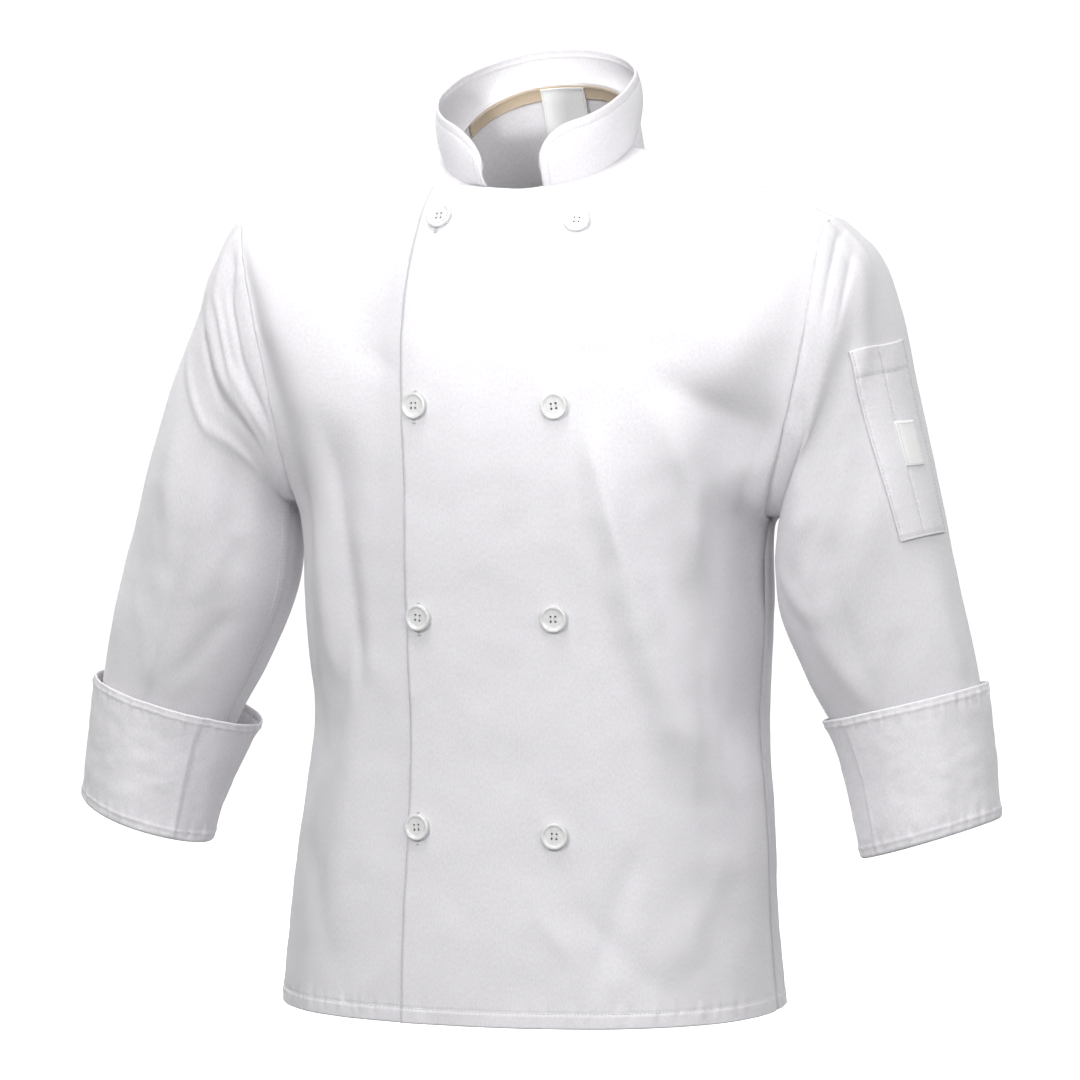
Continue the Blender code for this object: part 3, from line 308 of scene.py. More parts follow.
# Sewing
STITCH_LENGTH = 0.0026
STITCH_STEP = 0.0031
THREAD = 0.00030
TRIM_THREAD = 0.00022
BUTTON_THREAD = 0.00026
COLLAR_STITCH = 0.0060
CUFF_STITCH_TOP = 0.0050
CUFF_STITCH_BOTTOM = 0.0085
HEM_STITCH = 0.0112
POCKET_STITCH = 0.0022
POCKET_HEM = 0.021
POCKET_DIVIDE = 0.56
FACING_EDGE = 0.152
CUFF_SEAM = {1: 126.0, -1: 135.0}
CUFF_SEAM_RADIUS = 0.052
CUFF_LAP = 0.0010
FELLED_SEAM = {1: (168.0, 174.0), -1: (158.0, 165.0)}
# Small lumps of each cloth: rise, size and seed
UNEVENNESS = {
    "body": ((0.0010, 0.055, 0), (0.00050, 0.021, 5)),
    "sleeve": ((0.0007, 0.050, 11), (0.00030, 0.018, 15)),
    "cuff": ((0.0009, 0.030, 21), (0.0004, 0.010, 25)),
    "collar": ((0.0004, 0.024, 31),),
    "pocket": ((0.0004, 0.030, 41),),
}


# ---------------------------------------------------------------- curves and noise
def hermite(start, start_slope, end, end_slope, w):
    return (
        start * (2 * w**3 - 3 * w**2 + 1)
        + start_slope * (w**3 - 2 * w**2 + w)
        + end * (3 * w**2 - 2 * w**3)
        + end_slope * (w**3 - w**2)
    )


def table_curve(rows, names):
    """A smooth curve through a table's rows: column name to value, for any first-column x."""
    table = np.array(rows, dtype=float)
    x = table[:, 0]
    slope = np.gradient(table, x, axis=0)

    def read(at):
        at = np.clip(np.asarray(at, dtype=float), x[0], x[-1])
        i = np.clip(np.searchsorted(x, at, side="right") - 1, 0, len(x) - 2)
        span = x[i + 1] - x[i]
        w = ((at - x[i]) / span)[..., None]
        span = span[..., None]
        value = hermite(table[i], slope[i] * span, table[i + 1], slope[i + 1] * span, w)
        return {name: value[..., k] for k, name in enumerate(names)}

    return read


def ease(x, low, high):
    w = np.clip((x - low) / (high - low), 0.0, 1.0)
    return w * w * (3 - 2 * w)


def between(x, low, rise_end, fall_start, high):
    """1 in the middle of a stretch, easing to 0 at both of its ends."""
    return ease(x, low, rise_end) * (1 - ease(x, fall_start, high))


def unit(v):
    return v / np.maximum(np.linalg.norm(v, axis=-1, keepdims=True), 1e-12)


def walk(points):
    """Metres walked along a line of points."""
    return np.concatenate([[0], np.cumsum(np.linalg.norm(np.diff(points, axis=0), axis=1))])


def signed_power(x, power):
    return np.sign(x) * np.abs(x) ** power


def bell(x, width):
    return np.exp(-(x / width) ** 2)


def turn_from(angles, centre):
    """Degrees from a direction, -180 to 180."""
    return (angles - centre + 180) % 360 - 180


def ripple(x, pitch, seed):
    """Smooth uneven waves along a line, about -1 to 1."""
    total = np.zeros_like(np.asarray(x, dtype=float))
    for k, (stretch, weight) in enumerate(((1.0, 0.5), (1.63, 0.32), (0.57, 0.34), (2.71, 0.16))):
        total = total + weight * np.sin(2 * np.pi * x / (pitch * stretch) + seed * (2.3 + k) + k * k)
    return total


def cloud(points, scale, seed):
    """Smooth noise over points in space, about -1 to 1."""
    flat = points.reshape(-1, 3) / scale + seed * 7.31
    return np.array([noise.noise(p) for p in flat.tolist()]).reshape(points.shape[:-1])


section_at = table_curve(SECTIONS, SECTION_COLUMNS)
sleeve_at = table_curve(SLEEVE, SLEEVE_COLUMNS)
neck_at = table_curve(tuple(zip(range(NECK + 1), NECK_SHARES, NECK_ANGLES)), ("count", "share", "angle"))
arm_share_at = table_curve(tuple(zip(range(TIP, SIDE + 1), (TIP_SHARE, *ARM_SHARES))), ("count", "share"))


def fold_height(folds, across, along, radius, along_scale, fade_reach=FOLD_FADE):
    """Sum of soft ridges and troughs at points given as degrees round and place along."""
    total = np.zeros_like(across)
    for row in folds:
        fold = dict(zip(FOLD_COLUMNS, row))
        start = np.array([math.radians(fold["angle_a"]) * radius, fold["z_a"] * along_scale])
        end = np.array([math.radians(fold["angle_b"]) * radius, fold["z_b"] * along_scale])
        run = end - start
        length = np.hypot(*run)
        run = run / length
        offset_across = np.radians(across) * radius - start[0]
        offset_along = along * along_scale - start[1]
        down = offset_across * run[0] + offset_along * run[1]
        side = offset_across * run[1] - offset_along * run[0]
        beyond, within = fade_reach
        fade = between(down, -beyond, within, length - within, length + beyond)
        total += fold["rise"] * fade * bell(side, fold["half_width"])
    return total


# ---------------------------------------------------------------- the body's form
def body_ring(share, z, back):
    """Points of the body at a share of its half width and a height, on the front or the back."""
    row = section_at(z)
    straight = 1 - ease(share, *STRAIGHT_FADE)
    wide = np.clip(share * (1 + (EVEN_HALF_WIDTH / row["half_width"] - 1) * straight), 0.0, 1.0)
    depth = (1 - wide**SECTION_POWER) ** (1 / SECTION_POWER)
    y = np.where(back, depth * row["back"], -depth * row["front"])
    return np.stack([wide * row["half_width"], y, z + 0 * y], axis=-1)


def neck_point(angle):
    """A point of the neck seam: 0 degrees is the centre front, 90 the neck point, 180 the centre back."""
    a = math.radians(angle)
    depth, height = (NECK_FRONT, NECK_DROP) if angle < 90 else (NECK_BACK, NECK_RISE)
    reach = signed_power(math.cos(a), 2 / NECK_POWER)
    x = NECK_HALF_WIDTH * signed_power(math.sin(a), 2 / NECK_POWER)
    return np.array([x, -depth * reach, -height * reach])


def arm_ring(at, angle, side):
    """Sleeve section, drawn on +X: 0 degrees is the outer side, 90 the front, 180 the inner side."""
    row = sleeve_at(at)
    outer = np.stack([row["outer_x"], row["outer_z"]], axis=-1)
    inner = np.stack([row["inner_x"], row["inner_z"]], axis=-1)
    middle = (outer + inner) / 2
    half = (outer - inner) / 2
    a = np.radians(angle)
    rise = signed_power(np.cos(a), 2 / row["power"])
    swell = signed_power(np.sin(a), 2 / row["power"])
    hollow = ARMHOLE_HOLLOW[side] * (1 - ease(at, *HOLLOW_FADE))
    lower = ease(at, *LOWER_ARM)
    head = between(at, *HEAD_SPAN)
    x = middle[..., 0] + half[..., 0] * rise - hollow * swell**2 + SLEEVE_SWING[side] * lower
    x = x + HEAD_FULLNESS[side] * head * (1 + rise) / 2
    z = middle[..., 1] + half[..., 1] * rise + SLEEVE_LIFT[side] * lower
    y = row["y"] - row["depth"] * swell
    return np.stack([x, y, z], axis=-1)


def column_place(count, side, back):
    """Share, top point, top slope and outward lean of the body column at a count from the centre."""
    count = abs(count)
    turn = -1.0 if back else 1.0
    start, neck_rise, tip_rise = (np.array(rise) for rise in ARRIVALS[back])
    flip = np.array([1.0, turn, 1.0])
    if count <= NECK:
        row = neck_at(count)
        angle = float(row["angle"])
        top = neck_point(180.0 - angle if back else angle)
        return float(row["share"]), top, flip * (start + (neck_rise - start) * angle / 90.0), 0.0
    neck = neck_point(90.0)
    if count <= TIP:
        w = (count - NECK) / (TIP - NECK)
        top = neck + (np.array(SHOULDER_TIP) - neck) * w
        top[2] += SHOULDER_RISE * math.sin(math.pi * w)
        share = NECK_SHARES[-1] + (TIP_SHARE - NECK_SHARES[-1]) * w
        return share, top, flip * (neck_rise + (tip_rise - neck_rise) * w), TIP_SPREAD * w**2
    angle = 180.0 * (count - TIP) / (SIDE - TIP)
    top = arm_ring(0.0, -angle if back else angle, side)
    lean = 1 - float(ease(angle, 0.0, 95.0))
    swell = abs(math.sin(math.radians(angle)))
    out, forward, flat = ARM_LEAN
    rise = np.array([out * lean + ARM_SWELL * swell, turn * forward * lean, 1.0 - flat * lean])
    share = float(arm_share_at(count)["share"])
    return share, top, rise, TIP_SPREAD * lean + ARMHOLE_SPREAD[side] * swell


def column_points(share, top, rise, spread, back, drop):
    """Evenly spaced points up one column from the hem to its top, cut short by drop."""
    z = np.linspace(HEM_Z, CHEST_Z, LOW_SAMPLES)
    low = body_ring(np.full_like(z, share), z, back)
    start = low[-1]
    chord = np.linalg.norm(top - start)
    w = np.linspace(0, 1, HIGH_SAMPLES)[1:, None]
    up = np.array([0.0, 0.0, CHEST_PULL * chord])
    high = hermite(start, up, top, unit(rise) * chord * TOP_PULL, w)
    path = np.concatenate([low, high])
    walked = walk(path)
    to_top = walked[-1] - walked
    path[:, 0] -= spread * to_top * np.exp(-to_top / SPREAD_LENGTH)
    stops = walked[-1] * ROW_STOPS - drop * ease(SOLID_SHARE, 0.72, 1.0)
    return np.stack([np.interp(stops, walked, path[:, k]) for k in range(3)], axis=-1)


def fine_counts(low):
    """Counts of the fine columns, from low (0 or the lap's edge) to the side seam."""
    runs = [
        np.linspace(0, NECK, NECK * NECK_FINE + 1),
        np.linspace(NECK, TIP, (TIP - NECK) * NECK_FINE + 1)[1:],
        np.linspace(TIP, SIDE, (SIDE - TIP) * ARM_FINE + 1)[1:],
    ]
    if low < 0:
        runs.insert(0, np.linspace(low, 0, -low * LAP_FINE + 1)[:-1])
    return np.concatenate(runs)


def body_part(side, back, counts, drops=None):
    """Grid of body columns at the given counts, drawn with side 1 for +X and -1 for -X."""
    columns = []
    for k, count in enumerate(counts):
        own_side = side if count >= 0 else -side
        drop = 0.0 if drops is None else drops[k]
        points = column_points(*column_place(count, own_side, back), back, drop)
        points[:, 0] *= side if count >= 0 else -side
        columns.append(points)
    return soften_tip(np.array(columns), counts)


def soften_tip(grid, counts):
    """Even out, across the columns, the ridge that runs down from the shoulder tip."""
    share = bell(counts - TIP, TIP_SOFT_COLUMNS)[:, None] * ease(grid[..., 2], *TIP_SOFT_HEIGHT)
    share = share * (1 - ease(SOLID_SHARE, *TIP_SOFT_FADE))
    cells = (len(counts) - 1) / (counts[-1] - counts[0])
    for _ in range(int(2 * (TIP_SOFTENING * cells) ** 2)):
        middle = (grid[:-2] + 2 * grid[1:-1] + grid[2:]) / 4
        grid[1:-1] += (middle - grid[1:-1]) * share[1:-1, :, None]
    return grid


def grid_normals(grid, closed):
    """Unit normals of a grid; closed joins its last column to its first."""
    wide = np.concatenate([grid[-1:], grid, grid[:1]]) if closed else grid
    across = np.gradient(wide, axis=0)
    if closed:
        across = across[1:-1]
    up = np.gradient(grid, axis=1)
    return unit(np.cross(across, up))


# ---------------------------------------------------------------- cloth
class Cloth:
    """A grid of points [column][row] with outward normals; a shell is made from it."""

    def __init__(self, grid, normal, wall, closed=False):
        self.grid, self.normal, self.wall, self.closed = grid.copy(), normal.copy(), wall, closed
        self.step = np.full(grid.shape[:2], wall / 2)
        self.measure()

    def measure(self):
        """Metres walked along the columns and rows, for the weave and the sewing."""
        up = np.linalg.norm(np.diff(self.grid, axis=1), axis=-1)
        self.up = np.concatenate([np.zeros((len(up), 1)), np.cumsum(up, axis=1)], axis=1)
        across = np.linalg.norm(np.diff(self.grid, axis=0), axis=-1)
        self.across = np.concatenate([np.zeros((1, across.shape[1])), np.cumsum(across, axis=0)])
        self.to_top = self.up[:, -1:] - self.up
        self.to_end = self.across[-1:] - self.across

    def press(self, height):
        self.grid = self.grid + self.normal * height[..., None]

    def at(self, c, r, out=0.0):
        """Points and normals of the outer face at fractional columns and rows."""
        c, r = np.broadcast_arrays(np.asarray(c, dtype=float), np.asarray(r, dtype=float))
        columns, rows = self.grid.shape[:2]
        c = c % columns if self.closed else np.clip(c, 0, columns - 1)
        r = np.clip(r, 0, rows - 1)
        c0 = np.floor(c).astype(int)
        c0 = c0 if self.closed else np.minimum(c0, columns - 2)
        r0 = np.minimum(np.floor(r).astype(int), rows - 2)
        c1 = (c0 + 1) % columns
        u, v = (c - c0)[..., None], (r - r0)[..., None]

        def mix(a):
            low = a[c0, r0] * (1 - u) + a[c1, r0] * u
            high = a[c0, r0 + 1] * (1 - u) + a[c1, r0 + 1] * u
            return low * (1 - v) + high * v

        normal = unit(mix(self.normal))
        return mix(self.grid) + normal * (self.wall / 2 + out), normal

    def row_at(self, distance, from_top=False):
        """Fractional row of each column at a distance from its lower or upper end."""
        rows = np.arange(self.grid.shape[1], dtype=float)
        found = []
        for line in self.up:
            target = line[-1] - distance if from_top else distance
            found.append(np.interp(target, line, rows))
        return np.array(found)

    def column_at(self, distance, row, from_end=False):
        """Fractional column of one row at a distance from its start or end."""
        line = self.across[:, row]
        target = line[-1] - distance if from_end else distance
        return float(np.interp(target, line, np.arange(len(line))))


LEAST_LEAN = 0.55


def join(cloths):
    """Give the edges of (cloth, columns, row) that meet along a seam one common direction."""
    normals = [cloth.normal[columns, row] for cloth, columns, row in cloths]
    middle = unit(sum(normals))
    for (cloth, columns, row), own in zip(cloths, normals):
        lean = np.clip(np.sum(middle * own, axis=-1), LEAST_LEAN, 1.0)
        cloth.normal[columns, row] = middle
        cloth.step[columns, row] = cloth.wall / 2 / lean


def end_faces(rows, around, first, flip):
    """Faces that close an open end of a shell, on the loop that starts at point first."""
    rings = [(k, k + 1, around - k - 1, around - k) for k in range(1, rows)]
    rings += [(rows, rows + 1, rows + 2), (0, 1, around - 1)]
    return [tuple(first + n for n in (ring if flip else ring[::-1])) for ring in rings]


def shell(name, cloth, material, rim=0.45):
    """A closed shell from a cloth: outer face, rounded rims and inner face."""
    grid, normal, step = cloth.grid, cloth.normal, cloth.step[..., None]
    columns, rows = grid.shape[:2]
    outer, inner = grid + normal * step, grid - normal * step
    low = grid[:, 0] + unit(grid[:, 0] - grid[:, 1]) * cloth.wall * rim
    high = grid[:, -1] + unit(grid[:, -1] - grid[:, -2]) * cloth.wall * rim
    loop = np.concatenate([low[:, None], outer, high[:, None], inner[:, ::-1]], axis=1)
    around = loop.shape[1]
    c, r = np.meshgrid(np.arange(columns if cloth.closed else columns - 1), np.arange(around), indexing="ij")
    far, above = (c + 1) % columns, (r + 1) % around
    corners = ((c, r), (far, r), (far, above), (c, above))
    faces = np.stack([a * around + b for a, b in corners], axis=-1).reshape(-1, 4).tolist()

    up = np.concatenate([cloth.up[:, :1], cloth.up, cloth.up[:, -1:], cloth.up[:, ::-1]], axis=1)
    middle = around // 4 - 1
    across = cloth.across[:, middle]
    if cloth.closed:
        girth = across[-1] + np.linalg.norm(loop[0, middle + 1] - loop[-1, middle + 1])
        across = np.append(across, girth)
        up = np.concatenate([up, up[:1]])
    u = np.stack([across[c], across[c + 1], across[c + 1], across[c]], axis=-1)
    v = np.stack([up[c, r], up[c + 1, r], up[c + 1, above], up[c, above]], axis=-1)
    uv = np.stack([u.reshape(-1), v.reshape(-1)], axis=-1)
    if not cloth.closed:
        ends = end_faces(rows, around, 0, True) + end_faces(rows, around, (columns - 1) * around, False)
        uv = np.concatenate([uv, np.zeros((sum(len(face) for face in ends), 2))])
        faces += ends
    return mesh_piece(name, loop.reshape(-1, 3), faces, material, uv)


def add(name, data):
    """A scene object that holds a mesh, light or camera."""
    made = bpy.data.objects.new(name, data)
    bpy.context.scene.collection.objects.link(made)
    return made


def mesh_piece(name, points, faces, material, uv=None):
    mesh = bpy.data.meshes.new(name)
    mesh.from_pydata(points.tolist() if isinstance(points, np.ndarray) else points, [], faces)
    if uv is not None:
        layer = mesh.uv_layers.new(name="weave")
        layer.data.foreach_set("uv", np.ascontiguousarray(uv, dtype=np.float32).reshape(-1))
    mesh.materials.append(material)
    made = bmesh.new()
    made.from_mesh(mesh)
    if made.calc_volume(signed=True) < 0:
        bmesh.ops.reverse_faces(made, faces=made.faces[:])
    made.to_mesh(mesh)
    made.free()
    mesh.shade_smooth()
    piece = add(name, mesh)
    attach(piece, "root")
    return piece


# ---------------------------------------------------------------- materials
GRAIN = 0.15
GRAIN_STRETCH = 0.50
SLUB_STRETCH = 0.10
YARN_WEIGHT = 0.60
SLUB_WEIGHT = 0.35
RELIEF_SHADE = 0.34
NODE_OUTPUT = {"TexNoise": "Fac", "TexWave": "Fac", "TexCoord": "Object"}


def new_material(name):
    made = bpy.data.materials.new(name)
    made.use_nodes = True
    return made, made.node_tree, made.node_tree.nodes["Principled BSDF"]


def feed(tree, target, inputs):
    """Set a node's inputs to values, or link them to the outputs given."""
    for key, value in inputs.items():
        if isinstance(value, bpy.types.NodeSocket):
            tree.links.new(value, target.inputs[key])
        else:
            target.inputs[key].default_value = value


def node(tree, kind, inputs=None, **settings):
    """A shader node with its inputs fed; gives back its main output."""
    made = tree.nodes.new("ShaderNode" + kind)
    for key, value in settings.items():
        setattr(made, key, value)
    feed(tree, made, inputs or {})
    return made.outputs[NODE_OUTPUT.get(kind, 0)]


def lumps(tree, place, scale, detail, roughness=0.5):
    return node(tree, "TexNoise", {"Vector": place, "Scale": scale, "Detail": detail, "Roughness": roughness})


def drawn_out(tree, place, share):
    """Weave coordinates drawn out along the warp."""
    return node(tree, "Mapping", {"Vector": place, "Scale": (1.0, share, 1.0)})


def weighted_sum(tree, value, weight, rest):
    return node(tree, "Math", {0: value, 1: weight, 2: rest}, operation="MULTIPLY_ADD")


def colour_ramp(tree, factor, *stops):
    """Colours between two stops of place and colour."""
    made = tree.nodes.new("ShaderNodeValToRGB")
    for element, (place, colour) in zip(made.color_ramp.elements, stops):
        element.position = place
        element.color = (*colour, 1.0)
    tree.links.new(factor, made.inputs["Fac"])
    return made.outputs["Color"]


def cloth_material(name, colour, shade, roughness, sheen, pitch, depth, angle=52.0):
    """Woven cloth: diagonal twill lines, uneven yarns, soft shade changes and sheen."""
    made, tree, shader = new_material(name)
    place = node(tree, "UVMap", uv_map="weave")
    turned = node(tree, "Mapping", {"Vector": place, "Rotation": (0, 0, math.radians(angle))})
    twill = node(tree, "TexWave", {"Vector": turned, "Scale": 2 * math.pi / (20 * pitch), "Distortion": 0.6,
                                   "Detail": 2.0, "Detail Scale": 1.2})
    yarn = lumps(tree, place, 1 / (pitch * 2.2), 3.0, 0.6)
    slubs = lumps(tree, drawn_out(tree, place, SLUB_STRETCH), 900.0, 2.0)
    patches = lumps(tree, place, 9.0, 4.0, 0.55)
    relief = weighted_sum(tree, slubs, SLUB_WEIGHT, weighted_sum(tree, yarn, YARN_WEIGHT, twill))
    blend = weighted_sum(tree, relief, RELIEF_SHADE, patches)
    grain = lumps(tree, drawn_out(tree, place, GRAIN_STRETCH), 1 / (pitch * 1.9), 4.0, 0.75)
    level = node(tree, "MapRange", {"Value": grain, "From Min": 0.30, "From Max": 0.70,
                                    "To Min": 1 - GRAIN, "To Max": 1.0})
    colours = colour_ramp(tree, blend, (0.35, shade), (0.95, colour))
    feed(tree, shader, {
        "Base Color": node(tree, "VectorMath", {0: colours, "Scale": level}, operation="SCALE"),
        "Roughness": roughness,
        "Specular IOR Level": 0.25,
        "Sheen Weight": sheen,
        "Sheen Roughness": 0.45,
        "Normal": node(tree, "Bump", {"Height": relief, "Strength": 1.0, "Distance": depth}),
    })
    return made


def plastic_material(name, colour, shade, roughness):
    """Moulded plastic: faint cloudy colour and fine surface unevenness under a clear gloss."""
    made, tree, shader = new_material(name)
    place = node(tree, "TexCoord")
    clouds = lumps(tree, place, 220.0, 3.0)
    fine = lumps(tree, place, 1400.0, 2.0)
    feed(tree, shader, {
        "Base Color": colour_ramp(tree, clouds, (0.3, shade), (0.7, colour)),
        "Roughness": node(tree, "MapRange", {"Value": clouds, "To Min": roughness - 0.06,
                                             "To Max": roughness + 0.08}),
        "Coat Weight": 0.5,
        "Coat Roughness": 0.12,
        "Subsurface Weight": 0.12,
        "Subsurface Radius": (0.004, 0.004, 0.003),
        "Normal": node(tree, "Bump", {"Height": fine, "Strength": 0.25, "Distance": 0.00006}),
    })
    return made


def thread_material(name, colour, shade):
    """Twisted sewing thread."""
    made, tree, shader = new_material(name)
    twist = lumps(tree, node(tree, "TexCoord"), 2600.0, 2.0)
    feed(tree, shader, {
        "Base Color": colour_ramp(tree, twist, (0.3, shade), (0.7, colour)),
        "Roughness": 0.62,
        "Sheen Weight": 0.25,
        "Normal": node(tree, "Bump", {"Height": twist, "Strength": 0.6, "Distance": 0.0001}),
    })
    return made


TWILL = cloth_material("twill_cloth", (0.860, 0.843, 0.870), (0.795, 0.778, 0.806),
                       0.82, 0.25, 0.00085, 0.00013)
TRIM = cloth_material("tape_cloth", (0.64, 0.52, 0.38), (0.50, 0.38, 0.26),
                      0.88, 0.20, 0.00110, 0.00016, angle=40.0)
LABEL = cloth_material("label_cloth", (0.93, 0.93, 0.92), (0.88, 0.88, 0.87),
                       0.55, 0.30, 0.00045, 0.00004, angle=90.0)
PLASTIC = plastic_material("button_plastic", (0.70, 0.70, 0.695), (0.63, 0.63, 0.625), 0.26)
# Near-black plastic for the plugs inside the button holes: painted shade of the holes' depth
HOLE = plastic_material("button_hole_painted_shade", (0.035, 0.035, 0.04), (0.02, 0.02, 0.025), 0.60)
STITCHING = thread_material("sewing_thread", (0.66, 0.66, 0.675), (0.52, 0.52, 0.54))


# ---------------------------------------------------------------- stitches
STITCH_SIDES = 6
# A stitch's rings: share of its length, share of its radius and lift in radii
STITCH_RINGS = ((0.0, 0.35, -0.9), (0.22, 1.0, 0.25), (0.78, 1.0, 0.25), (1.0, 0.35, -0.9))


def stitch_shape(start, end, normal, radius):
    """One short bowed stitch: a six-sided capsule of four rings."""
    run = end - start
    length = np.linalg.norm(run)
    along = run / max(length, 1e-9)
    side = unit(np.cross(normal, along))
    rings = []
    for t, thick, lift in STITCH_RINGS:
        middle = start + run * t + normal * radius * lift
        for k in range(STITCH_SIDES):
            a = 2 * math.pi / STITCH_SIDES * k
            rings.append(middle + (side * math.cos(a) + normal * math.sin(a)) * radius * thick)
    return rings


def stitch_faces():
    """The sides of a stitch, between its rings, and its two ends."""
    last = (len(STITCH_RINGS) - 1) * STITCH_SIDES
    faces = []
    for low in range(0, last, STITCH_SIDES):
        for k in range(STITCH_SIDES):
            n = (k + 1) % STITCH_SIDES
            faces.append((low + k, low + n, low + STITCH_SIDES + n, low + STITCH_SIDES + k))
    return faces + [tuple(reversed(range(STITCH_SIDES))), tuple(range(last, last + STITCH_SIDES))]


def stitch_mesh(name, segments, material, radius=THREAD):
    """Many stitches as one piece; segments are (start, end, normal)."""
    points, faces = [], []
    shape = stitch_faces()
    for start, end, normal in segments:
        base = len(points)
        points += stitch_shape(start, end, normal, radius)
        faces += [tuple(base + k for k in face) for face in shape]
    piece = mesh_piece(name, np.array(points), faces, material)
    return piece


def run_stitches(points, normals, step=STITCH_STEP, length=STITCH_LENGTH, lift=0.00012):
    """Even stitches along a line on a face."""
    walked = walk(points)
    count = int(walked[-1] / step)
    segments = []
    for k in range(count):
        a, b = k * step, k * step + length
        start = np.array([np.interp(a, walked, points[:, i]) for i in range(3)])
        end = np.array([np.interp(b, walked, points[:, i]) for i in range(3)])
        normal = unit(np.array([np.interp((a + b) / 2, walked, normals[:, i]) for i in range(3)]))
        segments.append((start + normal * lift, end + normal * lift, normal))
    return segments


def sewn(cloth, c, r, **kind):
    points, normals = cloth.at(c, r)
    return run_stitches(points, normals, **kind)


# ---------------------------------------------------------------- the cut pieces
TOP_FADE = (0.86, 1.0)


def body_height(grid, angle, behind):
    """Folds and creases of a front or of the back, faded out towards the upper seams."""
    if behind:
        angle = angle % 360
        rows = [row for row in BODY_FOLDS + BODY_CREASES if abs(row[0]) >= 90]
        rows += [row for row in BODY_FOLDS if 60 <= abs(row[0]) < 90]
        folds = [(a % 360, za, b % 360, zb, *rest) for a, za, b, zb, *rest in rows]
        height = fold_height(folds, angle, grid[..., 2], BODY_RADIUS, 1.0)
    else:
        height = fold_height(BODY_FOLDS, angle, grid[..., 2], BODY_RADIUS, 1.0)
        height += fold_height(BODY_CREASES, angle, grid[..., 2], BODY_RADIUS, 1.0, BODY_CREASE_FADE)
    return height * (1 - ease(SOLID_SHARE, *TOP_FADE))


def body_settle(grid):
    """The slant of the hem and the shifts of the body and the neck."""
    shift = section_at(grid[..., 2])["shift"] * (1 - ease(grid[..., 2], *SHIFT_FADE))
    to_hem = 1 - ease(grid[..., 2], HEM_Z, CHEST_Z)
    slant = HEM_SLANT * to_hem * grid[..., 0] / SECTIONS[0][1]
    near = 1 - ease(np.abs(grid[..., 0]), *NECK_SHIFT_WIDTH)
    side = shift + NECK_SHIFT * ease(grid[..., 2], *NECK_SHIFT_HEIGHT) * near
    grid[..., 2] += slant
    grid[..., 0] += side
    return grid


def body_cloth(grid, behind=False):
    cloth = Cloth(grid, grid_normals(grid, False), WALL)
    angle = np.degrees(np.arctan2(grid[..., 0], -grid[..., 1]))
    cloth.press(body_height(grid, angle, behind))
    cloth.grid = body_settle(cloth.grid)
    cloth.normal = grid_normals(cloth.grid, False)
    cloth.measure()
    return cloth


def make_body(lapped, half):
    """The fronts, of columns at counts lapped, and the back, of columns at counts half twice."""
    drop_of = table_curve(tuple(zip(range(LAP + 1), LAP_DROPS)), ("count", "drop"))
    past = drop_of(np.maximum(-lapped, 0))["drop"]
    drops = np.where(lapped <= 0, past, LAP_DROPS[0] * bell(lapped, 0.8))
    left = body_cloth(body_part(1, False, lapped, drops))
    right = body_cloth(body_part(-1, False, lapped, drops)[::-1])
    behind = body_part(1, True, half)[::-1]
    back = body_cloth(np.concatenate([behind, body_part(-1, True, half)[1:]]), behind=True)

    reach = LAP_REACH[0] + (LAP_REACH[1] - LAP_REACH[0]) * (1 - SOLID_SHARE**10)
    fade = 1 - ease(lapped[:, None], LAP, LAP + reach[None, :])
    lift = (1 - ease(lapped[:, None], *LIFT_COLUMNS)) * ease(SOLID_SHARE * SOLID_ROWS, *LIFT_ROWS)
    apart = (WALL + LAYER_GAP) / 2 * fade + LAP_LIFT * lift
    left.press(apart)
    right.press(-apart[::-1])
    return left, right, back


def sleeve_surface(side, across, along, creases=True):
    """Points and normals of a sleeve at degrees round and shares of its length."""
    around = arm_ring(along, across + 4.0, side) - arm_ring(along, across - 4.0, side)
    down = arm_ring(along + 0.02, across, side) - arm_ring(np.maximum(along - 0.02, 0), across, side)
    normal = unit(np.cross(around, down))
    free = between(along, *SLEEVE_FOLD_SPAN)
    height = fold_height(SLEEVE_FOLDS[side], across, along, SLEEVE_RADIUS, SLEEVE_LENGTH) * free
    if creases:
        free = between(along, *SLEEVE_CREASE_SPAN)
        height += free * fold_height(SLEEVE_CREASES[side], across, along, SLEEVE_RADIUS, SLEEVE_LENGTH,
                                     SLEEVE_CREASE_FADE)
    points = arm_ring(along, across, side) + normal * height[..., None]
    mirror = np.array([side, 1.0, 1.0])
    return points * mirror, normal * mirror


def make_sleeve(side, angles):
    shares = np.linspace(0, SLEEVE_END, SLEEVE_FINE_ROWS + 1)
    grid, normal = sleeve_surface(side, *np.meshgrid(angles, shares, indexing="ij"))
    return Cloth(grid, normal, WALL, closed=True)


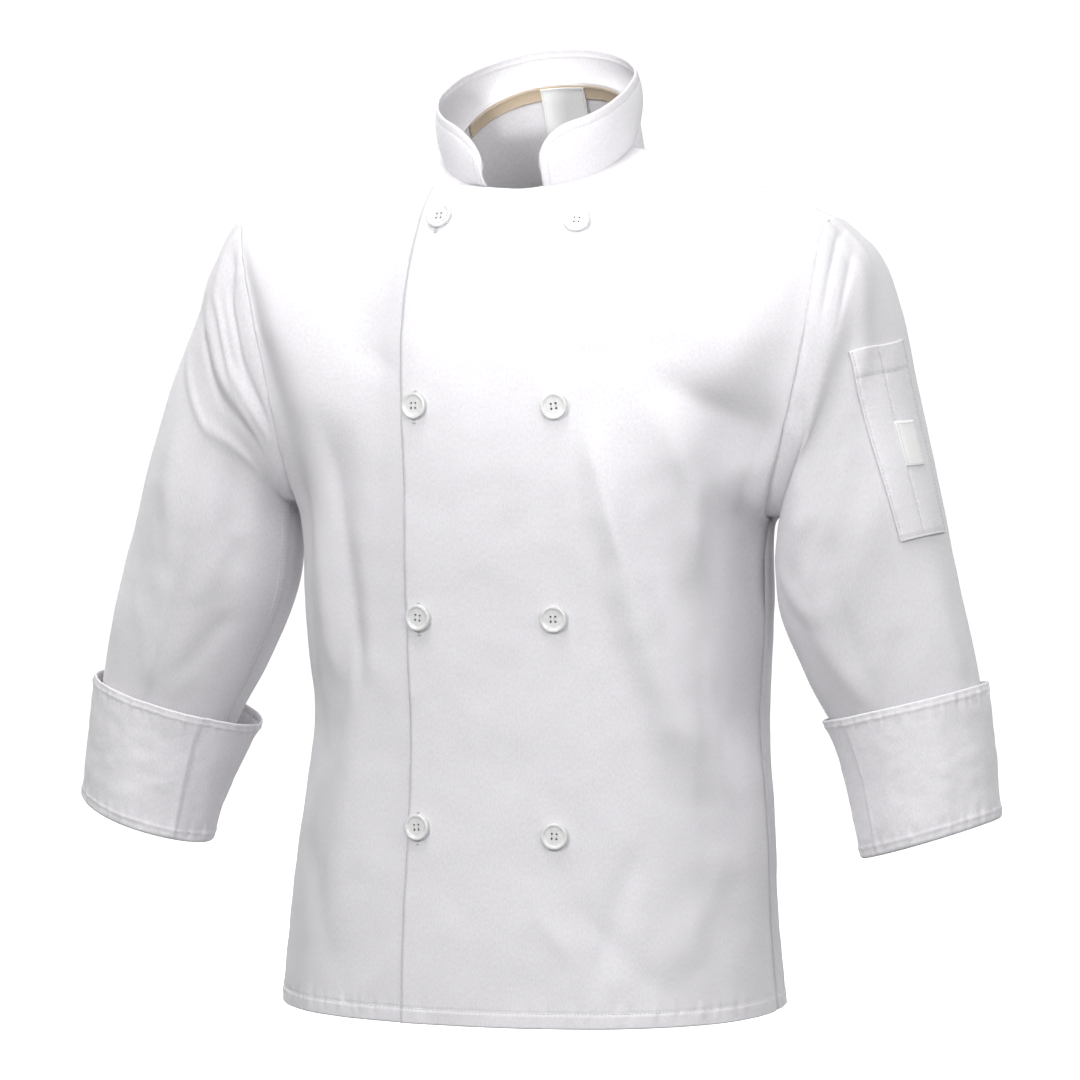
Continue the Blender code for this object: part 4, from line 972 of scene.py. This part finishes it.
def make_cuff(side, angles):
    """The sleeve's end inside the cuff, the turn at the bottom and the outer ply up to its free edge."""
    inside = np.linspace(SLEEVE_END, 1.0, CUFF_INNER_ROWS)
    outside = np.linspace(1.0, CUFF_TOP[side], CUFF_OUTER_ROWS)
    inner, _ = sleeve_surface(side, *np.meshgrid(angles, inside, indexing="ij"), creases=False)
    outer, normal = sleeve_surface(side, *np.meshgrid(angles, outside, indexing="ij"), creases=False)
    open_side = bell(turn_from(angles, CUFF_OPEN_ANGLE), 55.0)
    raised = ease(-outside, -1.0, -CUFF_TOP[side])
    spread = CUFF_GAP + CUFF_FLARE * raised[None, :] + CUFF_OPEN[side] * open_side[:, None] * raised
    outer = outer + normal * spread[..., None]
    down = unit(inner[:, -1] - inner[:, -2])
    radius = CUFF_GAP / 2
    turn = [
        inner[:, -1] + normal[:, 0] * radius * (1 - math.cos(a)) + down * radius * math.sin(a)
        for a in np.linspace(0, math.pi, CUFF_TURN_ROWS + 2)[1:-1]
    ]
    grid = np.concatenate([inner, np.stack(turn, axis=1), outer], axis=1)
    return Cloth(grid, grid_normals(grid, True) * side, WALL, closed=True)


def make_collar(left, right, back, lapped, half):
    """A stand on the neck seam with rounded ends, leaning with the seam's tilt."""
    start = int(np.argmin(np.abs(lapped - 1.0)))
    end = int(np.argmin(np.abs(lapped - NECK)))
    reach = NECK * NECK_FINE
    seam = np.concatenate([
        left.grid[start:end, -1],
        back.grid[len(half) - 1 - reach:len(half) + reach, -1],
        right.grid[::-1][start:end, -1][::-1],
    ])
    walked = walk(seam)
    share = np.linspace(0, 1, COLLAR_CELLS[0])
    share = share - 0.10 * np.sin(2 * np.pi * share) / (2 * np.pi)
    base = np.stack([np.interp(share * walked[-1], walked, seam[:, k]) for k in range(3)], axis=-1)
    for _ in range(3):
        base[1:-1] = (base[:-2] + 2 * base[1:-1] + base[2:]) / 4
    walked = walk(base)
    to_end = np.minimum(walked, walked[-1] - walked)
    curve = np.sqrt(1 - (1 - np.clip(to_end / COLLAR_ROUND, 0, 1)) ** 2)
    behind = ease(base[:, 1], -0.02, NECK_BACK)
    full = COLLAR_HEIGHT + (COLLAR_BACK_HEIGHT - COLLAR_HEIGHT) * behind
    height = COLLAR_END_HEIGHT + (full - COLLAR_END_HEIGHT) * curve
    lean = COLLAR_LEAN + (COLLAR_BACK_LEAN - COLLAR_LEAN) * behind
    up = unit(np.stack([0 * lean, -lean, 1 + 0 * lean], axis=-1))
    out = unit(base * np.array([1.0, 1.0, 0.0]))
    rise = np.linspace(0, 1, COLLAR_CELLS[1])
    grid = base[:, None] + up[:, None] * (height[:, None] * rise)[..., None]
    grid += out[:, None] * (COLLAR_BULGE * np.sin(np.pi * rise))[None, :, None]
    return Cloth(grid, grid_normals(grid, False), COLLAR_WALL)


def face_away(cloth, centre):
    """Turn a cloth's normals away from a point inside it."""
    middle = tuple(n // 2 for n in cloth.grid.shape[:2])
    if np.dot(cloth.normal[middle], cloth.grid[middle] - np.array(centre)) < 0:
        cloth.normal = -cloth.normal


def join_seams(side, front, back, sleeve):
    """Shoulder, armhole and side seams: the pieces that meet share one direction along each."""
    front_of = dict(zip(lapped.round(4), np.arange(len(lapped))[::side]))
    back_of = dict(zip(half.round(4), len(half) - 1 - side * np.arange(len(half))))
    shoulder = [c for c in half.round(4) if NECK <= c < TIP]
    arm = [c for c in half.round(4) if c >= TIP]
    ring = [int(round((c - TIP) * ARM_FINE)) for c in arm]
    behind = [-k % len(sleeve.grid) for k in ring]
    join([(front, [front_of[c] for c in shoulder], -1), (back, [back_of[c] for c in shoulder], -1)])
    join([(front, [front_of[c] for c in arm], -1), (sleeve, ring, 0)])
    join([(back, [back_of[c] for c in arm], -1), (sleeve, behind, 0)])
    rows = np.arange(front.grid.shape[1])
    join([(cloth, np.full(len(rows), column_of[SIDE]), rows)
          for cloth, column_of in ((front, front_of), (back, back_of))])


lapped, half = fine_counts(-LAP), fine_counts(0)
left, right, back = make_body(lapped, half)
for cloth, centre_x in ((left, 0.05), (right, -0.05), (back, 0.0)):
    face_away(cloth, (centre_x, 0, -0.35))
sleeve_columns = 2 * (SIDE - TIP) * ARM_FINE
sleeve_angles = 360.0 * np.arange(sleeve_columns) / sleeve_columns
cuff_angles = np.linspace(0, 360, CUFF_COLUMNS + 1)[:-1]
sleeves = {side: make_sleeve(side, sleeve_angles) for side in (1, -1)}
cuffs = {side: make_cuff(side, cuff_angles) for side in (1, -1)}
collar = make_collar(left, right, back, lapped, half)
face_away(collar, (0, 0, collar.grid[..., 2].mean()))
for side, front in ((1, left), (-1, right)):
    join_seams(side, front, back, sleeves[side])


# ---------------------------------------------------------------- sewing pressed into the cloth
def seam_dip(distance, depth=0.0011, width=0.0028):
    """Cloth drawn in along a seam, with a slight swell beside it."""
    return -depth * bell(distance, width) + 0.00025 * bell(distance - 2.6 * width, 1.5 * width)


def stitch_dip(distance, along, seed, pucker, pitch=0.013):
    """Cloth pressed down by a line of stitches and puckered on both sides of it."""
    line = -0.00055 * bell(distance, 0.0012)
    return line + pucker * ripple(along, pitch, seed) * bell(distance, 0.0062)


def uneven(cloth, kind, seed=0):
    return sum(rise * cloud(cloth.grid, size, start + seed) for rise, size, start in UNEVENNESS[kind])


def press_body(cloth, seed, counts=None):
    """A front, with its columns' counts, or the back: hem, seams and unevenness."""
    along = cloth.across
    height = stitch_dip(cloth.up - HEM_STITCH, along, seed, pucker=0.00085)
    height += 0.00055 * (1 - ease(cloth.up, HEM_STITCH - 0.001, HEM_STITCH + 0.0012))
    top = seam_dip(cloth.to_top)
    if counts is None:
        at_arm = np.abs(np.arange(len(cloth.grid)) - (len(half) - 1)) > 0.55 * len(half)
    else:
        at_arm = counts > TIP + 0.5
        top = np.where((counts >= NECK)[:, None], top, 0.4 * top)
    height += top + uneven(cloth, "body", seed)
    gathers = 0.0005 * ripple(along, 0.019, seed + 2.0) * bell(cloth.to_top, 0.016)
    height += gathers * at_arm[:, None]
    if cloth is left:
        height += 0.0004 * bell(along, 0.004) * ripple(cloth.up, 0.06, 4.2)
        height -= 0.00035 * bell(along - FACING_EDGE, 0.0014) * (0.7 + 0.3 * ripple(cloth.up, 0.05, 1.1))
    else:
        height += seam_dip(along)
    if cloth is not right:
        height += seam_dip(cloth.to_end)
    cloth.press(height)


def press_sleeve(cloth, side):
    """Armhole seam with its gathers, most at the head, and the felled seam underneath."""
    head = 0.35 + 0.65 * bell(turn_from(sleeve_angles, 0.0), 75.0)
    gathers = bell(cloth.up - 0.006, 0.012) * head[:, None]
    under = np.radians(turn_from(sleeve_angles, FELLED_SEAM[side][1] + 3.0)) * SLEEVE_RADIUS
    height = seam_dip(cloth.up, 0.0010) + seam_dip(under, 0.0018)[:, None]
    height += 0.0010 * ripple(cloth.across, 0.017, side * 1.7) * gathers
    cloth.press(height + uneven(cloth, "sleeve", side))


def press_cuff(cloth, side):
    """Both stitch lines of a cuff, its lapped seam and unevenness, all but the upper line past the fold."""
    along = cloth.across
    from_fold = cloth.up - cloth.up[:, CUFF_FOLD_ROW, None]
    seam = np.radians(turn_from(cuff_angles, CUFF_SEAM[side])) * CUFF_SEAM_RADIUS
    lap = CUFF_LAP * between(seam, -0.0008, 0.0008, 0.004, 0.030)
    height = stitch_dip(from_fold - CUFF_STITCH_BOTTOM, along, side * 5.0, 0.00070, 0.011)
    height += (lap - 0.0012 * bell(seam, 0.0015))[:, None]
    height += uneven(cloth, "cuff", side) + 0.0005 * ripple(along, 0.041, side)
    height *= ease(from_fold, 0.0, 0.004)
    cloth.press(height + stitch_dip(cloth.to_top - CUFF_STITCH_TOP, along, side * 3.0, 0.00085, 0.009))


def press_collar(cloth):
    height = stitch_dip(cloth.to_top - COLLAR_STITCH, cloth.across, 7.0, 0.00022, 0.010)
    cloth.press(height + uneven(cloth, "collar") - 0.0006 * bell(cloth.up, 0.0030))


press_body(left, 1, lapped)
press_body(right, 2, lapped[::-1])
press_body(back, 3)
for side in (1, -1):
    press_sleeve(sleeves[side], side)
    press_cuff(cuffs[side], side)
press_collar(collar)


# ---------------------------------------------------------------- pocket, tab, tape, label
def make_pocket():
    """The pen pocket on the left sleeve's form, between its upper and lower edges."""
    u, v = np.meshgrid(*(np.linspace(0, 1, n + 1) for n in POCKET_FINE), indexing="ij")
    start, end = np.array(POCKET_TOP), np.array(POCKET_BOTTOM)
    top = start[0] + (start[1] - start[0]) * u[..., None]
    bottom = end[0] + (end[1] - end[0]) * u[..., None]
    across, along = np.moveaxis(top + (bottom - top) * v[..., None], -1, 0)
    along = along + POCKET_SAG * 4 * u * (1 - u) * (1 - v)
    points, normal = sleeve_surface(1, across, along)
    return Cloth(points + normal * (WALL / 2 + POCKET_GAP + POCKET_WALL / 2), normal, POCKET_WALL)


def press_pocket(cloth):
    """Stitch lines near three edges, under the hem and at the pen's place, and a soft swell."""
    width = cloth.across[-1:]
    lines = (
        (cloth.across - POCKET_STITCH, cloth.up, 0.00018, 0.011),
        (cloth.to_end - POCKET_STITCH, cloth.up, 0.00018, 0.011),
        (cloth.to_top - POCKET_STITCH, cloth.across, 0.00018, 0.009),
        (cloth.up - POCKET_HEM, cloth.across, 0.00018, 0.009),
        (cloth.across - width * POCKET_DIVIDE, cloth.up, 0.00015, 0.012),
    )
    height = sum(stitch_dip(distance, along, seed, pucker, pitch)
                 for seed, (distance, along, pucker, pitch) in enumerate(lines, 1))
    height += 0.0006 * bell(cloth.across - width * 0.28, 0.012) + uneven(cloth, "pocket")
    cloth.press(height + 0.00035 * (1 - ease(cloth.up, POCKET_HEM - 0.001, POCKET_HEM + 0.001)))


def on_cloth(cloth, columns, rows, out, cells):
    """A trim at an even distance from a cloth's outer face."""
    c, r = np.meshgrid(np.linspace(*columns, cells[0]), np.linspace(*rows, cells[1]), indexing="ij")
    points, normal = cloth.at(c, r, out + TRIM_WALL / 2)
    return Cloth(points, normal, TRIM_WALL)


def back_rows(solid_rows):
    """Fine rows of the back at the solid's rows."""
    share = 1 - (1 - np.array(solid_rows) / SOLID_ROWS) ** ROW_CROWDING
    return np.interp(share, ROW_STOPS, np.arange(len(ROW_STOPS)))


pocket = make_pocket()
press_pocket(pocket)
tab_columns, tab_rows = (
    np.array(cells) * fine / solid
    for cells, fine, solid in zip((TAB_COLUMNS, TAB_ROWS), POCKET_FINE, POCKET_CELLS)
)
tab = on_cloth(pocket, tab_columns, tab_rows, SEAM_GAP, (24, 34))
neck_middle = len(half) - 1
tape_columns = neck_middle + np.array((-1, 1)) * (NECK - 1) * NECK_FINE
label_columns = neck_middle + np.array(LABEL_COLUMNS) * NECK_FINE
tape_out = -(WALL + TAPE_GAP + TRIM_WALL)
tape = on_cloth(back, tape_columns, back_rows(TAPE_ROWS), tape_out, (90, 9))
label = on_cloth(back, label_columns, back_rows(LABEL_ROWS), tape_out - TRIM_WALL - SEAM_GAP, (30, 40))


MATERIALS = {"white_twill": TWILL, "white_label": LABEL, "beige_tape": TRIM}
# Node, piece, cloth, slot, flat size and how the sheet is held
SHEETS = (
    ("front_left", "over_front", left, "white_twill", (0.345, 0.72), "hung"),
    ("front_right", "under_front", right, "white_twill", (0.345, 0.72), "hung"),
    ("back", "back_panel", back, "white_twill", (0.56, 0.78), "hung"),
    ("sleeve_left", "left_sleeve", sleeves[1], "white_twill", (0.47, 0.60), "hung"),
    ("sleeve_right", "right_sleeve", sleeves[-1], "white_twill", (0.47, 0.60), "hung"),
    ("cuff_left", "left_cuff", cuffs[1], "white_twill", (0.36, 0.190), "hung"),
    ("cuff_right", "right_cuff", cuffs[-1], "white_twill", (0.36, 0.180), "hung"),
    ("collar", "stand_collar", collar, "white_twill", (0.43, 0.052), "hung"),
    ("pen_pocket", "sleeve_pen_pocket", pocket, "white_twill", (0.076, 0.170), "hung"),
    ("pocket_tab", "plain_tab", tab, "white_label", (0.026, 0.038), "stretched"),
    ("neck_tape", "inner_neck_tape", tape, "beige_tape", (0.200, 0.013), "stretched"),
    ("neck_label", "blank_label", label, "white_label", (0.044, 0.046), "stretched"),
)
for solid, name, cloth, slot, flat, held in SHEETS:
    piece = shell(name, cloth, MATERIALS[slot])
    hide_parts(solid)


# ---------------------------------------------------------------- stitching
def both_rows(cloth, inset):
    return [cloth.row_at(inset), cloth.row_at(inset, from_top=True)]


def both_columns(cloth, inset, row):
    return [cloth.column_at(inset, row), cloth.column_at(inset, row, from_end=True)]


def hem_stitches(cloth):
    return sewn(cloth, np.arange(len(cloth.grid)), cloth.row_at(HEM_STITCH))


def cuff_stitches(cloth):
    """The line under the free edge and the line above the fold, all round."""
    rows = np.arange(cloth.grid.shape[1])
    bottom = [np.interp(line[CUFF_FOLD_ROW] + CUFF_STITCH_BOTTOM, line, rows) for line in cloth.up]
    found = []
    for line in (cloth.row_at(CUFF_STITCH_TOP, from_top=True), bottom):
        found += sewn(cloth, np.arange(len(cloth.grid) + 1), np.append(line, line[0]))
    return found


def sleeve_stitches(cloth, angle):
    rows = np.arange(int(0.03 * SLEEVE_FINE_ROWS), int(0.90 * SLEEVE_FINE_ROWS))
    return sewn(cloth, np.full(len(rows), angle / 360 * len(cloth.grid)), rows)


def collar_stitches(cloth):
    """A line along the upper edge and down both rounded ends."""
    top = cloth.row_at(COLLAR_STITCH, from_top=True)
    inset = max(2, int(round(len(cloth.grid) * 0.012)))
    columns = np.arange(inset, len(cloth.grid) - inset)
    found = sewn(cloth, columns, top[columns])
    for column in both_columns(cloth, COLLAR_STITCH, 4):
        found += sewn(cloth, np.full(20, column), np.linspace(1, float(top[int(round(column))]), 20))
    return found


def pocket_stitches(cloth):
    columns, rows = (np.arange(n) for n in cloth.grid.shape[:2])
    found = []
    for column in (*both_columns(cloth, POCKET_STITCH, 30), POCKET_FINE[0] * POCKET_DIVIDE):
        found += sewn(cloth, np.full(len(rows), column), rows)
    for line in (cloth.row_at(POCKET_STITCH, from_top=True), cloth.row_at(POCKET_HEM)):
        found += sewn(cloth, columns, line)
    return found


def trim_stitches(trim, inset, step, length, inside=True, ends=True):
    """Lines near a trim's long edges and, with ends, near its ends, on its inner or outer face."""
    columns, rows = (np.arange(n) for n in trim.grid.shape[:2])
    lines = [(np.full(len(rows), column), rows) for column in both_columns(trim, inset, 3) if ends]
    lines += [(columns, row) for row in both_rows(trim, inset)]
    found = []
    for c, r in lines:
        points, normals = trim.at(c, r, -trim.wall if inside else 0.0)
        found += run_stitches(points, -normals if inside else normals, step, length)
    return found


stitch_mesh("hem_stitching", sum(map(hem_stitches, (left, right, back)), []), STITCHING)
stitch_mesh("cuff_stitching", cuff_stitches(cuffs[1]) + cuff_stitches(cuffs[-1]), STITCHING)
felled = [sleeve_stitches(sleeves[side], angle) for side in (1, -1) for angle in FELLED_SEAM[side]]
stitch_mesh("sleeve_stitching", sum(felled, []), STITCHING)
stitch_mesh("collar_stitching", collar_stitches(collar), STITCHING)
stitch_mesh("pocket_stitching", pocket_stitches(pocket), STITCHING)
trims = trim_stitches(tab, 0.0015, 0.0022, 0.0017, inside=False)
trims += trim_stitches(label, 0.0015, 0.0022, 0.0017)
trims += trim_stitches(tape, 0.0012, 0.0024, 0.0019, ends=False)
stitch_mesh("trim_stitching", trims, STITCHING, TRIM_THREAD)


# ---------------------------------------------------------------- buttons
# Share of the radius and of the height, from the middle of the lower face to the dished middle
BUTTON_PROFILE = (
    (0.0, 0.02), (0.86, 0.0), (0.95, 0.10), (1.0, 0.30), (1.0, 0.62), (0.985, 0.82), (0.945, 0.95),
    (0.89, 1.0), (0.83, 0.98), (0.775, 0.90), (0.735, 0.78), (0.70, 0.68), (0.66, 0.64), (0.60, 0.625),
)
BUTTON_SIDES = 64
BUTTON_DISH = 0.64 * BUTTON_HEIGHT
BUTTON_TILTS = (7, -4, 3, 9, -6, 2, 5, -3)
STRAND_OFFSET = 0.00022
STRAND_SHARE = 0.74
# HOLE_FLOOR: span along the button's normal of the dark plugs that paint the shade inside each hole
HOLE_FLOOR = (0.0008, 0.0016)
BUTTONHOLE_TOP, BUTTONHOLE_STEP, BUTTONHOLE_STITCHES = 0.0105, 0.00072, 34
BUTTONHOLE_BARS = (0.0110, -0.0142)


def disc_ring(radius, z, sides):
    turns = [2 * math.pi * k / sides for k in range(sides)]
    return [(radius * math.cos(a), radius * math.sin(a), z) for a in turns]


def button_blank():
    """A turned button with a rolled rim and a dished middle."""
    made = bmesh.new()
    bottom = made.verts.new((0, 0, BUTTON_PROFILE[0][1] * BUTTON_HEIGHT))
    rings = [
        [made.verts.new(p) for p in disc_ring(BUTTON_RADIUS * share, BUTTON_HEIGHT * height, BUTTON_SIDES)]
        for share, height in BUTTON_PROFILE[1:]
    ]
    for k in range(BUTTON_SIDES):
        n = (k + 1) % BUTTON_SIDES
        made.faces.new((bottom, rings[0][n], rings[0][k]))
        for low, high in zip(rings, rings[1:]):
            made.faces.new((low[k], low[n], high[n], high[k]))
    made.faces.new(rings[-1])
    return placed(made, "button_blank")


def button_drill():
    """Four round bars where the holes go."""
    made = bmesh.new()
    for x in (-1, 1):
        for y in (-1, 1):
            bar = bmesh.ops.create_cone(made, cap_ends=True, segments=20, depth=4 * BUTTON_HEIGHT,
                                        radius1=BUTTON_HOLE, radius2=BUTTON_HOLE)
            bmesh.ops.translate(made, verts=bar["verts"], vec=(x * BUTTON_PITCH, y * BUTTON_PITCH, 0))
    return placed(made, "button_drill")


def placed(made, name):
    mesh = bpy.data.meshes.new(name)
    made.to_mesh(mesh)
    made.free()
    return add(name, mesh)


def drilled_button():
    """Points and faces of the blank with its four holes cut through."""
    blank, drill = button_blank(), button_drill()
    cut = blank.modifiers.new("holes", "BOOLEAN")
    cut.operation = "DIFFERENCE"
    cut.object = drill
    mesh = bpy.data.meshes.new_from_object(blank.evaluated_get(bpy.context.evaluated_depsgraph_get()))
    bpy.data.objects.remove(blank)
    bpy.data.objects.remove(drill)
    return np.array([tuple(v.co) for v in mesh.vertices]), [tuple(p.vertices) for p in mesh.polygons]


def button_place(x, z):
    """Foot on the over-front, lift onto its highest part and outward normal of a button at x and z."""
    away = (left.grid[..., 0] - x) ** 2 + (left.grid[..., 2] - z) ** 2
    foot, _ = left.at(*np.unravel_index(np.argmin(away), away.shape))
    offset = left.grid + left.normal * WALL / 2 - foot
    near = np.linalg.norm(offset, axis=-1) < BUTTON_RADIUS
    normal = unit(np.mean(left.normal[near], axis=0))
    return foot, np.percentile(offset[near] @ normal, 80) + BUTTON_LIFT, normal


def buttonhole(foot, up, across, normal):
    """Two rows of close stitches beside the slit and a bar at each end."""
    slit = foot + normal * 0.0001
    found = []
    for side in (-1, 1):
        for k in range(BUTTONHOLE_STITCHES):
            start = slit + up * (BUTTONHOLE_TOP - k * BUTTONHOLE_STEP) + across * side * 0.0003
            found.append((start, start + across * side * 0.0013, normal))
    for k in range(7):
        for end in BUTTONHOLE_BARS:
            start = slit + up * (end + k * 0.0001) - across * 0.0016
            found.append((start, start + across * 0.0032, normal))
    return found


def sew_button(number, x, z):
    """A button with its threads; gives back threads, painted-shade plugs in the holes and its place on the
    cloth.
    """
    foot, lift, normal = button_place(x, z)
    point = foot + normal * lift
    up = unit(np.array([0, 0, 1.0]) - normal * normal[2])
    across = unit(np.cross(up, normal))
    tilt = math.radians(BUTTON_TILTS[number - 1])
    x_axis = across * math.cos(tilt) + up * math.sin(tilt)
    y_axis = np.cross(normal, x_axis)
    turn = np.stack([x_axis, y_axis, normal], axis=1)
    piece = mesh_piece(f"sewn_button_{number}", button_points @ turn.T + point, button_faces, PLASTIC)
    piece.data.set_sharp_from_angle(angle=math.radians(40))
    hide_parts(f"button_{number}")
    threads, holes = [], []
    for a in (-1, 1):
        for strand in (-STRAND_OFFSET, STRAND_OFFSET):
            middle = point + x_axis * (BUTTON_PITCH * a + strand) + normal * BUTTON_DISH
            reach = y_axis * BUTTON_PITCH * STRAND_SHARE
            threads.append((middle - reach, middle + reach, normal))
        for b in (-1, 1):
            # Each hole gets a dark plug inside it: painted shade of the hole's depth
            middle = point + (x_axis * a + y_axis * b) * BUTTON_PITCH
            holes.append((middle + normal * HOLE_FLOOR[0], middle + normal * HOLE_FLOOR[1], up))
    return threads, holes, (foot, up, across, normal)


button_points, button_faces = drilled_button()
button_threads, hole_shade_plugs = [], []
for row, (z, middle_x) in enumerate(BUTTON_ROWS):
    for column, side in enumerate((-1, 1)):
        threads, holes, place = sew_button(2 * row + column + 1, middle_x + side * BUTTON_COLUMN, z)
        button_threads += threads
        hole_shade_plugs += holes
        if side == -1:
            button_threads += buttonhole(*place)
stitch_mesh("button_threads", button_threads, STITCHING, BUTTON_THREAD)
# Dark plugs inside the button holes: painted shade
stitch_mesh("button_hole_shade_plugs", hole_shade_plugs, HOLE, 0.0007)


# ---------------------------------------------------------------- floor, light, camera
FLOOR_Z, FLOOR_RADIUS, FLOOR_CORNER, FLOOR_WALL_TOP, FLOOR_SIDES = -1.05, 6.5, 2.5, 5.0, 96


def studio():
    """A pale round floor that curves up into a wall on all sides."""
    flat = FLOOR_RADIUS - FLOOR_CORNER
    profile = [(2.0, FLOOR_Z), (flat, FLOOR_Z)]
    for k in range(1, 13):
        a = math.pi / 2 * k / 12
        profile.append((flat + FLOOR_CORNER * math.sin(a), FLOOR_Z + FLOOR_CORNER * (1 - math.cos(a))))
    profile.append((FLOOR_RADIUS, FLOOR_WALL_TOP))
    points, faces = [(0, 0, FLOOR_Z)], []
    for radius, z in profile:
        points += disc_ring(radius, z, FLOOR_SIDES)
    for k in range(FLOOR_SIDES):
        n = (k + 1) % FLOOR_SIDES
        faces.append((0, 1 + k, 1 + n))
        for start in range(1, len(points) - FLOOR_SIDES, FLOOR_SIDES):
            faces.append((start + k, start + FLOOR_SIDES + k, start + FLOOR_SIDES + n, start + n))
    mesh = bpy.data.meshes.new("studio_floor")
    mesh.from_pydata(points, [], faces)
    mesh.shade_smooth()
    made, tree, shader = new_material("studio_white")
    feed(tree, shader, {
        "Base Color": (0.93, 0.93, 0.93, 1), "Roughness": 0.9, "Specular IOR Level": 0.1,
        "Emission Color": (1.0, 1.0, 1.0, 1), "Emission Strength": 0.80,
    })
    mesh.materials.append(made)
    floor = add("studio_floor", mesh)
    floor.visible_diffuse = False
    floor.visible_shadow = False


def aim(direction):
    return direction.to_track_quat("-Z", "Y").to_euler()


def studio_light(name, place, target, size, power, beam=None):
    """A round soft box, or a soft-edged beam of the given width in degrees."""
    light = bpy.data.lights.new(name, "AREA" if beam is None else "SPOT")
    if beam is None:
        light.shape = "DISK"
        light.size = size
    else:
        light.spot_size = math.radians(beam)
        light.spot_blend = 1.0
        light.shadow_soft_size = size
    light.energy = power
    made = add(name, light)
    made.location = place
    made.rotation_euler = aim(Vector(target) - Vector(place))
    made.visible_camera = False


studio()
world = bpy.data.worlds.new("studio_world")
bpy.context.scene.world = world
world.use_nodes = True
feed(world.node_tree, world.node_tree.nodes["Background"], {"Color": (0.97, 0.98, 1.0, 1), "Strength": 0.19})
bpy.context.scene.view_settings.view_transform = "Standard"
studio_light("key_light", (-0.20, -0.85, 2.2), (0, 0, -0.10), 1.0, 34)
studio_light("front_left_light", (-1.0, -2.8, 1.0), (0, 0, -0.30), 1.2, 45)
studio_light("front_right_light", (1.6, -2.8, 0.9), (0, 0, -0.25), 1.2, 34)
studio_light("side_right_light", (2.9, -1.3, 1.1), (0.2, 0, -0.15), 2.0, 34)
studio_light("back_left_light", (-2.3, 2.2, 1.6), (0, 0, -0.25), 1.2, 62)
studio_light("back_right_light", (1.3, 2.8, 1.1), (0, 0, -0.25), 1.4, 26)
studio_light("collar_light", (0.6, -2.2, -0.6), (0.005, 0, 0.030), 0.15, 130, beam=9.5)

# The camera, and the photo's pixels: its width, the row of the origin and the sideways shift
CAMERA_AZIMUTH, CAMERA_ELEVATION, CAMERA_DISTANCE = 20.0, 5.0, 4.2
CAMERA_TARGET_Z = -0.31
SENSOR_WIDTH = 36.0
PHOTO_WIDTH, ORIGIN_ROW, COLUMN_SHIFT = 1080, 148, 4
PIXELS_PER_METRE = 1250
azimuth, elevation = math.radians(CAMERA_AZIMUTH), math.radians(CAMERA_ELEVATION)
direction = Vector((math.sin(azimuth) * math.cos(elevation), -math.cos(azimuth) * math.cos(elevation),
                    math.sin(elevation)))
camera_data = bpy.data.cameras.new("photo_camera")
camera = add("photo_camera", camera_data)
camera.location = Vector((0.0, 0.0, CAMERA_TARGET_Z)) + direction * CAMERA_DISTANCE
camera.rotation_euler = aim(-direction)
camera_data.sensor_width = SENSOR_WIDTH
camera_data.lens = SENSOR_WIDTH * CAMERA_DISTANCE * PIXELS_PER_METRE / PHOTO_WIDTH
target_row = ORIGIN_ROW - CAMERA_TARGET_Z * PIXELS_PER_METRE * math.cos(elevation)
camera_data.shift_x = COLUMN_SHIFT / PHOTO_WIDTH
camera_data.shift_y = target_row / PHOTO_WIDTH - 0.5
bpy.context.scene.camera = camera
